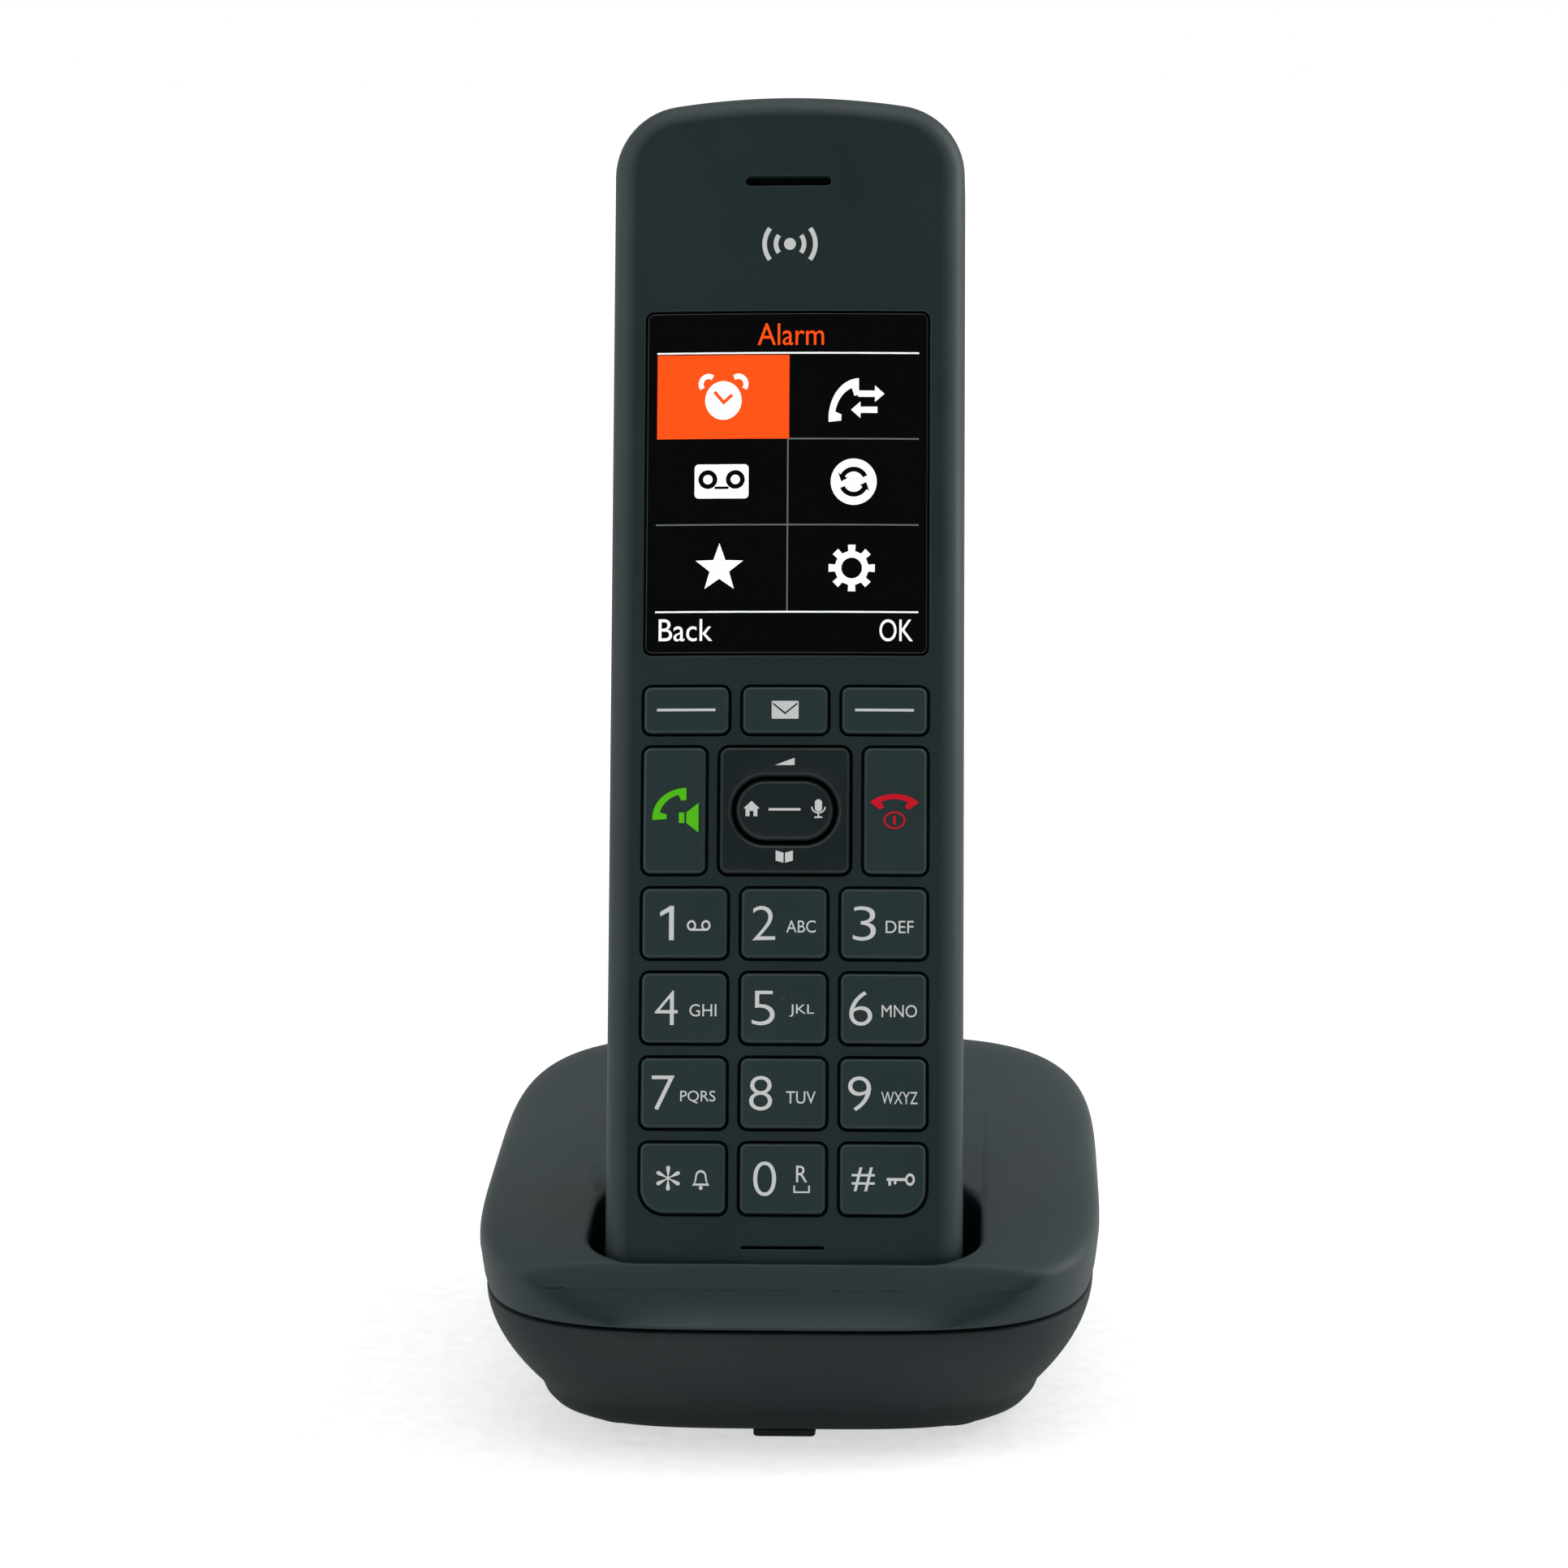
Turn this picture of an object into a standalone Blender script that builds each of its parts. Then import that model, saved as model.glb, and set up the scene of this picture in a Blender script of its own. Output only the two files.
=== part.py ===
"""A cordless phone: a handset leaning back in its charging cradle.

Units are metres and +Z is up.  The front faces -Y, and the origin is the middle of the
cradle's footprint, on the surface that it stands on.  The handset's pieces lie flat
under an empty of their own, X across, Y along the handset from its bottom end and Z out
of its face, with Z = 0 where the two shells meet.  The empty leans them back.
"""

import math

import bmesh
import bpy
from mathutils import Matrix, Vector

MM = 0.001

# ---- fits ----------------------------------------------------------------------
GAP = 0.3 * MM              # between pieces that touch
KEY_GAP = 0.35 * MM         # round each key, in its hole
TILT_GAP = 0.5 * MM         # round the oval key, which tilts in the rocker

# ---- handset -------------------------------------------------------------------
HANDSET_WIDTH = 47.0 * MM
HANDSET_LENGTH = 162.6 * MM
FRONT_DEPTH = 11.0 * MM     # from the line between the shells to the face
REAR_DEPTH = 14.0 * MM      # from the line between the shells to the back
HANDSET_WALL = 2.0 * MM
FACE_ROUND = 3.6 * MM
BACK_ROUND = 8.0 * MM
ARCH_RADIUS = 110.0 * MM    # of the top end, seen from the front
TOP_CORNER = 9.5 * MM
BOTTOM_CORNER = 8.0 * MM
LEAN = math.radians(16.0)   # of the handset in the cradle, from upright

# ---- face layout, measured along the handset from its bottom end -----------------
PANEL_WIDTH = 37.4 * MM     # the display window and every row of keys
KEY_SPACE = 1.9 * MM        # between keys of one row
DIGIT_ROW_START = 13.0 * MM
DIGIT_HEIGHT = 9.15 * MM
DIGIT_ROW_SPACE = 2.0 * MM
NAV_WIDTH = 17.1 * MM
NAV_HEIGHT = 16.65 * MM
SOFT_HEIGHT = 6.15 * MM
WINDOW_SPACE = 4.5 * MM     # from the soft keys to the window
WINDOW_HEIGHT = 45.7 * MM
KEY_CORNER = 0.7 * MM
PAD_CORNER = 3.2 * MM       # outer corner of the star and hash keys
OVAL_WIDTH = 12.9 * MM
OVAL_HEIGHT = 8.0 * MM
EAR_SLOT = (11.4 * MM, 1.3 * MM)
EAR_SLOT_DROP = 12.2 * MM   # from the top end
MIC_SLOT = (10.9 * MM, 0.6 * MM)
MIC_RISE = 8.6 * MM

# ---- stack under the face --------------------------------------------------------
KEY_RISE = 0.5 * MM         # above the face
KEY_TRAVEL = 0.5 * MM
KEY_FLANGE = 0.6 * MM
FLANGE_REACH = 0.5 * MM     # past the hole's edge
KEY_EDGE = 0.4 * MM
MAT_THICKNESS = 1.0 * MM
BOARD_THICKNESS = 1.2 * MM
WINDOW_THICKNESS = 0.9 * MM
WINDOW_SINK = 0.1 * MM
WINDOW_LEDGE = 1.6 * MM
DISPLAY_THICKNESS = 1.7 * MM
GASKET_THICKNESS = 0.5 * MM
GASKET_WIDTH = 1.0 * MM
BOARD_LENGTH = 132.0 * MM
BOARD_START = 5.0 * MM

# ---- pieces inside the handset ---------------------------------------------------
CELL_RADIUS = 5.25 * MM
CELL_LENGTH = 43.5 * MM
CELL_NUB = (1.9 * MM, 1.0 * MM)
BAY_START = 41.5 * MM
BAY_WALL = 1.2 * MM
BAY_CLEARANCE = 0.4 * MM
SPRING_PLATE = 0.5 * MM
COVER_WIDTH = 30.0 * MM
COVER_LENGTH = 56.0 * MM
COVER_START = 38.0 * MM
COVER_THICKNESS = 1.5 * MM
COVER_LEDGE = 1.5 * MM
COVER_CORNER = 3.0 * MM
COVER_NOTCH = (10.0 * MM, 3.0 * MM)     # for a fingernail
EARPIECE = (9.5 * MM, 3.0 * MM)
RINGER = (11.0 * MM, 4.5 * MM)
RINGER_PLACE = 122.0 * MM
RINGER_SLOT = (12.0 * MM, 1.0 * MM)
RINGER_SLOTS = 5
RINGER_PITCH = 3.0 * MM
CAPSULE = (3.0 * MM, 1.8 * MM)
PAD_SIZE = (5.0 * MM, 4.0 * MM)
PAD_SPREAD = 9.0 * MM
PAD_DEPTH = 6.0 * MM        # behind the line between the shells
SCREW_HEAD = (2.2 * MM, 1.5 * MM)
SCREW_SHANK = 1.2 * MM
SCREW_PLACE = (14.0 * MM, 146.0 * MM)
BOSS_RADIUS = 3.0 * MM

# ---- cradle ------------------------------------------------------------------------
BASE_SPREAD = 84.0 / 47.0   # the cradle's width over the handset's
BASE_DEPTH = 96.0 * MM
BASE_WALL = 2.0 * MM
BASE_SQUARENESS = 4.1       # exponent of the plan's superellipse
SEAM_HEIGHT = 17.3 * MM
SEAM_TUCK = 0.8 * MM        # the seam lies this far inside the widest line
WIDE_RISE = 6.9 * MM        # from the seam to the widest line, beside the middle
WIDE_SLOPE = 0.05           # the widest line climbs towards the back
CROWN_RISE = 5.8 * MM       # from the widest line to the crown
CROWN_SLOPE = 0.065         # the crown climbs further towards the back
CROWN_FULLNESS = 0.2        # how squarely the crown turns into the sides
CROWN_FLATNESS = 0.55
FACET_SLOPE = math.radians(51.0)    # of the flat front above the seam
BOWL_TUCK = 6.8 * MM        # from the seam to the foot of the lower shell
BOWL_CURVE = 1.3
BOTTOM_ROUND = 3.0 * MM
BOTTOM_HEIGHT = 1.2 * MM    # of the lower shell above the surface
SEAT_BEHIND_FRONT = 16.8 * MM   # the seat: the handset's lower end, between its shells
SEAT_HEIGHT = 15.1 * MM
POCKET_SIDE_GAP = 2.3 * MM
POCKET_FRONT_GAP = 0.7 * MM
POCKET_BACK_GAP = 0.9 * MM
POCKET_FRONT_CORNER = 7.0 * MM
POCKET_BACK_CORNER = 10.0 * MM
POCKET_WALL = 1.6 * MM
CONTACT_SIZE = (2.2 * MM, 3.4 * MM)
CONTACT_LENGTH = 4.0 * MM
FOOT = (4.5 * MM, 2.0 * MM)
FOOT_SINK = 1.0 * MM
FOOT_INSET = (20.5 * MM, 19.5 * MM)     # from the cradle's side, and from its front or back
TAB_SIZE = (8.2 * MM, 9.0 * MM)
TAB_INSET = 10.4 * MM       # from the cradle's front
FRONT_SCREW = (13.0 * MM, 14.0 * MM)    # from the middle, and from the front
REAR_SCREW = (16.5 * MM, 34.0 * MM)     # from the side, and from the back
REAR_POST_TOP = 13.0 * MM
POST_RADIUS = 3.8 * MM
NOTCH_HALF = 17.0 * MM
NOTCH_TOP = 13.0 * MM
NOTCH_DEPTH = 12.0 * MM     # from the cradle's back to the notch's wall
SOCKET_DEPTH = 11.0 * MM
SOCKET_WALL = 1.3 * MM
SOCKET_HEIGHT = 8.4 * MM
SOCKET_LOW = 4.2 * MM
SOCKETS = (("line_jack", -9.4 * MM, 9.7 * MM), ("power_jack", 3.4 * MM, 7.7 * MM))
SOCKET_OPENING = 5.8 * MM
PAGE_KEY = (5.0 * MM, 4.0 * MM, 4.4 * MM)
PAGE_KEY_PLACE = 12.6 * MM
BASE_BOARD_WIDTH = 38.0 * MM
BASE_BOARD_THICKNESS = 1.6 * MM
BASE_BOARD_LOW = 4.0 * MM

PARTS = "cordless_phone"
CUTTERS = "cutters"

MATERIALS = {
    "body_plastic": ((0.018, 0.030, 0.031), 0.42, 0.0),
    "lower_plastic": ((0.016, 0.027, 0.028), 0.55, 0.0),
    "key_plastic": ((0.026, 0.042, 0.043), 0.40, 0.0),
    "rocker_plastic": ((0.012, 0.018, 0.020), 0.35, 0.0),
    "window_plastic": ((0.003, 0.004, 0.005), 0.08, 0.0),
    "display_glass": ((0.020, 0.020, 0.022), 0.20, 0.0),
    "foam": ((0.010, 0.010, 0.010), 0.95, 0.0),
    "silicone": ((0.050, 0.055, 0.060), 0.70, 0.0),
    "circuit_board": ((0.010, 0.090, 0.040), 0.45, 0.0),
    "contact_metal": ((0.700, 0.620, 0.420), 0.28, 1.0),
    "steel": ((0.550, 0.560, 0.580), 0.32, 1.0),
    "cell_label": ((0.100, 0.110, 0.120), 0.35, 0.2),
    "rubber": ((0.010, 0.010, 0.011), 0.85, 0.0),
    "socket_plastic": ((0.015, 0.015, 0.016), 0.50, 0.0),
}


# ---- scene and materials -------------------------------------------------------
def clear_scene():
    """Remove every object that the file opened with."""
    for obj in list(bpy.data.objects):
        bpy.data.objects.remove(obj, do_unlink=True)


def new_collection(name):
    """A collection linked to the scene."""
    collection = bpy.data.collections.new(name)
    bpy.context.scene.collection.children.link(collection)
    return collection


def make_materials():
    """One Principled material for each entry of MATERIALS."""
    for name, (colour, roughness, metallic) in MATERIALS.items():
        material = bpy.data.materials.new(name)
        material.use_nodes = True
        shader = material.node_tree.nodes["Principled BSDF"]
        shader.inputs["Base Color"].default_value = (*colour, 1.0)
        shader.inputs["Roughness"].default_value = roughness
        shader.inputs["Metallic"].default_value = metallic
        material.diffuse_color = (*colour, 1.0)


def add_part(name, mesh, material, parent=None, location=(0.0, 0.0, 0.0), turn=(0.0, 0.0, 0.0)):
    """Place a mesh in the parts collection with its material."""
    obj = bpy.data.objects.new(name, mesh)
    bpy.data.collections[PARTS].objects.link(obj)
    obj.parent = parent
    obj.location = location
    obj.rotation_euler = turn
    mesh.materials.clear()
    mesh.materials.append(bpy.data.materials[material])
    return obj


def add_cutter(name, mesh, parent=None, location=(0.0, 0.0, 0.0), turn=(0.0, 0.0, 0.0)):
    """Place a mesh among the cutters, out of the renders."""
    obj = bpy.data.objects.new(name, mesh)
    bpy.data.collections[CUTTERS].objects.link(obj)
    obj.parent = parent
    obj.location = location
    obj.rotation_euler = turn
    obj.hide_render = True
    obj.display_type = "WIRE"
    return obj


def add_empty(name, location, turn=(0.0, 0.0, 0.0), parent=None):
    """An empty that carries the pieces of one frame."""
    empty = bpy.data.objects.new(name, None)
    bpy.data.collections[PARTS].objects.link(empty)
    empty.parent = parent
    empty.location = location
    empty.rotation_euler = turn
    return empty


def boolean(obj, other, operation):
    """Add an exact Boolean modifier."""
    modifier = obj.modifiers.new(f"{operation}_{other.name}"[:60], "BOOLEAN")
    modifier.operation = operation
    modifier.solver = "EXACT"
    modifier.object = other


def cut(obj, *cutters):
    """Take each cutter away from an object."""
    for cutter in cutters:
        boolean(obj, cutter, "DIFFERENCE")


def unite(obj, *others):
    """Join each of the others to an object."""
    for other in others:
        boolean(obj, other, "UNION")


# ---- outlines ---------------------------------------------------------------------
def arc(centre_x, centre_y, radius, start, stop, steps):
    """Points along an arc, both ends included, with angles in degrees."""
    points = []
    for step in range(steps + 1):
        angle = math.radians(start + (stop - start) * step / steps)
        points.append((centre_x + radius * math.cos(angle), centre_y + radius * math.sin(angle)))
    return points


def rounded_box(x_low, x_high, y_low, y_high, corners, steps=3):
    """A rectangle with round corners: one radius, or bottom left, right, top right, left."""
    if isinstance(corners, float):
        corners = (corners,) * 4
    low_left, low_right, high_right, high_left = corners
    points = arc(x_low + low_left, y_low + low_left, low_left, 180, 270, steps)
    points += arc(x_high - low_right, y_low + low_right, low_right, 270, 360, steps)
    points += arc(x_high - high_right, y_high - high_right, high_right, 0, 90, steps)
    points += arc(x_low + high_left, y_high - high_left, high_left, 90, 180, steps)
    return points


def box_at(x, y, width, height, corner, steps=3):
    """A rounded rectangle about its middle."""
    return rounded_box(x - width / 2, x + width / 2, y - height / 2, y + height / 2, corner, steps)


def handset_outline(inset, steps=4):
    """The handset seen from the front, moved in by an inset: straight sides, arched top."""
    half = HANDSET_WIDTH / 2 - inset
    low = inset
    high = HANDSET_LENGTH - inset
    arch = ARCH_RADIUS - inset
    top = TOP_CORNER - inset
    bottom = BOTTOM_CORNER - inset
    arch_y = high - arch
    corner_y = arch_y + math.sqrt((arch - top) ** 2 - (half - top) ** 2)
    meet = math.degrees(math.atan2(corner_y - arch_y, half - top))
    points = arc(half - bottom, low + bottom, bottom, 270, 360, steps)
    points += arc(half - top, corner_y, top, 0, meet, steps)
    points += arc(0.0, arch_y, arch, meet, 180 - meet, steps + 2)[1:-1]
    points += arc(-half + top, corner_y, top, 180 - meet, 180, steps)
    points += arc(-half + bottom, low + bottom, bottom, 180, 270, steps)
    return points


def superellipse(half_x, half_y, steps=40):
    """The cradle's plan: a closed superellipse, as points."""
    power = 2.0 / BASE_SQUARENESS
    points = []
    for step in range(steps):
        angle = 2.0 * math.pi * step / steps
        cosine = math.cos(angle)
        sine = math.sin(angle)
        x = math.copysign(abs(cosine) ** power * half_x, cosine)
        y = math.copysign(abs(sine) ** power * half_y, sine)
        points.append((x, y))
    return points


# ---- solids ------------------------------------------------------------------------
def extrude(outlines, low, high, round_high=0.0, round_low=0.0, steps=3):
    """Closed outlines extruded along Z from low to high, with round edges if asked."""
    curve = bpy.data.curves.new("outline", "CURVE")
    curve.dimensions = "2D"
    curve.fill_mode = "BOTH"
    curve.extrude = (high - low) / 2
    for outline in outlines:
        spline = curve.splines.new("POLY")
        spline.points.add(len(outline) - 1)
        for point, (x, y) in zip(spline.points, outline):
            point.co = (x, y, 0.0, 1.0)
        spline.use_cyclic_u = True
    guide = bpy.data.objects.new("outline", curve)
    bpy.context.scene.collection.objects.link(guide)
    graph = bpy.context.evaluated_depsgraph_get()
    mesh = bpy.data.meshes.new_from_object(guide.evaluated_get(graph))
    bpy.data.objects.remove(guide, do_unlink=True)
    bpy.data.curves.remove(curve)
    mesh.transform(Matrix.Translation((0.0, 0.0, (low + high) / 2)))
    finish_solid(mesh, low, high, round_high, round_low, steps)
    return mesh


def finish_solid(mesh, low, high, round_high, round_low, steps):
    """Weld an extruded mesh, merge its flat caps and round its upper and lower edges."""
    solid = bmesh.new()
    solid.from_mesh(mesh)
    bmesh.ops.remove_doubles(solid, verts=solid.verts, dist=0.01 * MM)
    bmesh.ops.dissolve_limit(solid, angle_limit=math.radians(0.2), verts=solid.verts, edges=solid.edges)
    bmesh.ops.recalc_face_normals(solid, faces=solid.faces)
    for level, radius in ((high, round_high), (low, round_low)):
        if radius:
            edges = [edge for edge in solid.edges
                     if all(abs(vert.co.z - level) < 0.001 * MM for vert in edge.verts)]
            bmesh.ops.bevel(solid, geom=edges, offset=radius, segments=steps, profile=0.5,
                            affect="EDGES", clamp_overlap=False)
    solid.to_mesh(mesh)
    solid.free()


def box(size, centre=(0.0, 0.0, 0.0)):
    """A plain box."""
    solid = bmesh.new()
    bmesh.ops.create_cube(solid, size=1.0)
    bmesh.ops.scale(solid, vec=size, verts=solid.verts)
    bmesh.ops.translate(solid, vec=centre, verts=solid.verts)
    mesh = bpy.data.meshes.new("box")
    solid.to_mesh(mesh)
    solid.free()
    return mesh


def cylinder(radius, low, high, sides=20, round_edge=0.0):
    """A cylinder on the Z axis, with round ends if asked."""
    solid = bmesh.new()
    bmesh.ops.create_cone(solid, cap_ends=True, segments=sides, radius1=radius, radius2=radius,
                          depth=high - low)
    bmesh.ops.translate(solid, vec=(0.0, 0.0, (low + high) / 2), verts=solid.verts)
    if round_edge:
        rims = [edge for edge in solid.edges if abs(edge.verts[0].co.z - edge.verts[1].co.z) < 0.001 * MM]
        bmesh.ops.bevel(solid, geom=rims, offset=round_edge, segments=2, profile=0.5, affect="EDGES")
    mesh = bpy.data.meshes.new("cylinder")
    solid.to_mesh(mesh)
    solid.free()
    return mesh


def loft(rings):
    """A closed solid through rings of equal counts, from the lowest to the highest."""
    solid = bmesh.new()
    layers = [[solid.verts.new(point) for point in ring] for ring in rings]
    count = len(rings[0])
    for lower, upper in zip(layers, layers[1:]):
        for index in range(count):
            following = (index + 1) % count
            solid.faces.new((lower[index], lower[following], upper[following], upper[index]))
    solid.faces.new(tuple(reversed(layers[0])))
    solid.faces.new(tuple(layers[-1]))
    bmesh.ops.recalc_face_normals(solid, faces=solid.faces)
    mesh = bpy.data.meshes.new("loft")
    solid.to_mesh(mesh)
    solid.free()
    return mesh


def turned(profile, steps=18):
    """A turned solid from a profile that runs top to bottom at +X, both ends on the axis."""
    mesh = bpy.data.meshes.new("profile")
    mesh.from_pydata([(radius, 0.0, height) for radius, height in profile],
                     [(index, index + 1) for index in range(len(profile) - 1)], [])
    guide = bpy.data.objects.new("profile", mesh)
    bpy.context.scene.collection.objects.link(guide)
    screw = guide.modifiers.new("turn", "SCREW")
    screw.steps = steps
    screw.render_steps = steps
    screw.use_merge_vertices = True
    screw.merge_threshold = 0.01 * MM
    graph = bpy.context.evaluated_depsgraph_get()
    result = bpy.data.meshes.new_from_object(guide.evaluated_get(graph))
    bpy.data.objects.remove(guide, do_unlink=True)
    bpy.data.meshes.remove(mesh)
    return result


# ---- handset: places worked out from the driving sizes --------------------------
LAST_RING = math.radians(84.0)
CEILING = FRONT_DEPTH - HANDSET_WALL
FLANGE_TOP = CEILING - GAP
FLANGE_LOW = FLANGE_TOP - KEY_FLANGE
MAT_TOP = FLANGE_LOW - KEY_TRAVEL - GAP
MAT_LOW = MAT_TOP - MAT_THICKNESS
BOARD_TOP = MAT_LOW - GAP
BOARD_LOW = BOARD_TOP - BOARD_THICKNESS
KEY_TOP = FRONT_DEPTH + KEY_RISE
PANEL_HALF = PANEL_WIDTH / 2
THIRD_WIDTH = (PANEL_WIDTH - 2 * KEY_SPACE) / 3
SIDE_KEY_WIDTH = (PANEL_WIDTH - NAV_WIDTH) / 2 - KEY_SPACE
COLUMN_PITCH = THIRD_WIDTH + KEY_SPACE
ROW_PITCH = DIGIT_HEIGHT + DIGIT_ROW_SPACE
NAV_START = DIGIT_ROW_START + 4 * ROW_PITCH
NAV_MIDDLE = NAV_START + NAV_HEIGHT / 2
SOFT_START = NAV_START + NAV_HEIGHT + KEY_SPACE
SOFT_MIDDLE = SOFT_START + SOFT_HEIGHT / 2
WINDOW_START = SOFT_START + SOFT_HEIGHT + WINDOW_SPACE
WINDOW_MIDDLE = WINDOW_START + WINDOW_HEIGHT / 2
SIDE_KEY_X = PANEL_HALF - SIDE_KEY_WIDTH / 2
BACK_INSIDE = -REAR_DEPTH + HANDSET_WALL
COVER_LOW = -REAR_DEPTH
COVER_TOP = COVER_LOW + COVER_THICKNESS
COVER_MIDDLE = COVER_START + COVER_LENGTH / 2
CELL_DROP = COVER_TOP + GAP + CELL_RADIUS
BASE_WIDTH = HANDSET_WIDTH * BASE_SPREAD
HANDSET_SEAT = Vector((0.0, -BASE_DEPTH / 2 + SEAT_BEHIND_FRONT, SEAT_HEIGHT))
NOTCH_PLACE = BASE_DEPTH / 2 - NOTCH_DEPTH
WALL_INSIDE = NOTCH_PLACE - BASE_WALL - GAP
FOOT_X = BASE_WIDTH / 2 - FOOT_INSET[0]
FOOT_Y = BASE_DEPTH / 2 - FOOT_INSET[1]
FRONT_SCREW_Y = -BASE_DEPTH / 2 + FRONT_SCREW[1]
REAR_SCREW_X = BASE_WIDTH / 2 - REAR_SCREW[0]
REAR_SCREW_Y = BASE_DEPTH / 2 - REAR_SCREW[1]
SCREW_SEAT = BOTTOM_HEIGHT + SCREW_HEAD[1] + 2 * GAP
BAY_LENGTH = CELL_NUB[1] + CELL_LENGTH + 4 * GAP + 2 * SPRING_PLATE
BAY_WIDTH = 4 * CELL_RADIUS + 3 * BAY_CLEARANCE
BAY_MIDDLE = BAY_START + BAY_LENGTH / 2

DIGITS = (("star", "zero", "hash"), ("seven", "eight", "nine"), ("four", "five", "six"),
          ("one", "two", "three"))


def key_table():
    """Name, middle, width, height and corner radii of each plain key."""
    keys = []
    for row, names in enumerate(DIGITS):
        y = DIGIT_ROW_START + row * ROW_PITCH + DIGIT_HEIGHT / 2
        for column, name in enumerate(names):
            corners = [KEY_CORNER] * 4
            if name == "star":
                corners[0] = PAD_CORNER
            if name == "hash":
                corners[1] = PAD_CORNER
            keys.append((f"key_{name}", (column - 1) * COLUMN_PITCH, y, THIRD_WIDTH, DIGIT_HEIGHT,
                         tuple(corners)))
    for side, name in ((-1, "talk"), (1, "end")):
        keys.append((f"key_{name}", side * SIDE_KEY_X, NAV_MIDDLE, SIDE_KEY_WIDTH, NAV_HEIGHT,
                     (KEY_CORNER,) * 4))
    for column, name in enumerate(("soft_left", "message", "soft_right")):
        keys.append((f"key_{name}", (column - 1) * COLUMN_PITCH, SOFT_MIDDLE, THIRD_WIDTH,
                     SOFT_HEIGHT, (KEY_CORNER,) * 4))
    return keys


def grown(outline_corners, amount):
    """Corner radii after an outline has grown by an amount."""
    return tuple(max(corner + amount, 0.2 * MM) for corner in outline_corners)


# ---- handset shells ------------------------------------------------------------------
def make_front_shell(handset):
    """The front half: a rounded shell with the window's recess and a hole for each key."""
    shell = add_part("handset_front_shell",
                     extrude([handset_outline(0.0)], GAP / 2, FRONT_DEPTH, round_high=FACE_ROUND),
                     "body_plastic", handset)
    hollow = add_cutter("front_hollow",
                        extrude([handset_outline(HANDSET_WALL)], -HANDSET_WALL, CEILING,
                                round_high=FACE_ROUND - HANDSET_WALL, steps=2), handset)
    bosses = [add_cutter(f"front_boss_{side}",
                         cylinder(BOSS_RADIUS, GAP, CEILING + HANDSET_WALL / 2, 12), handset,
                         (x, SCREW_PLACE[1], 0.0))
              for side, x in (("left", -SCREW_PLACE[0]), ("right", SCREW_PLACE[0]))]
    bores = [add_cutter(f"front_bore_{side}",
                        cylinder(SCREW_SHANK + GAP, -HANDSET_WALL, CEILING - HANDSET_WALL, 12), handset,
                        (x, SCREW_PLACE[1], 0.0))
             for side, x in (("left", -SCREW_PLACE[0]), ("right", SCREW_PLACE[0]))]
    recess_low = FRONT_DEPTH - WINDOW_SINK - WINDOW_THICKNESS - GAP
    recess = add_cutter("window_recess",
                        extrude([box_at(0.0, WINDOW_MIDDLE, PANEL_WIDTH + 2 * GAP, WINDOW_HEIGHT + 2 * GAP,
                                        KEY_CORNER + GAP)], recess_low, FRONT_DEPTH + HANDSET_WALL), handset)
    sight = add_cutter("window_hole",
                       extrude([box_at(0.0, WINDOW_MIDDLE, PANEL_WIDTH - 2 * WINDOW_LEDGE,
                                       WINDOW_HEIGHT - 2 * WINDOW_LEDGE, KEY_CORNER)],
                               CEILING - HANDSET_WALL, FRONT_DEPTH), handset)
    outlines = [box_at(x, y, width + 2 * KEY_GAP, height + 2 * KEY_GAP, grown(corners, KEY_GAP))
                for _, x, y, width, height, corners in key_table()]
    outlines.append(box_at(0.0, NAV_MIDDLE, NAV_WIDTH + 2 * KEY_GAP, NAV_HEIGHT + 2 * KEY_GAP,
                           KEY_CORNER + KEY_GAP))
    ear_y = HANDSET_LENGTH - EAR_SLOT_DROP
    outlines.append(box_at(0.0, ear_y, *EAR_SLOT, EAR_SLOT[1] / 2.1))
    outlines.append(box_at(0.0, MIC_RISE, *MIC_SLOT, MIC_SLOT[1] / 2.1))
    holes = add_cutter("key_holes", extrude(outlines, CEILING - HANDSET_WALL, FRONT_DEPTH + HANDSET_WALL),
                       handset)
    cut(shell, hollow)
    unite(shell, *bosses)
    cut(shell, *bores, recess, sight, holes)


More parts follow.
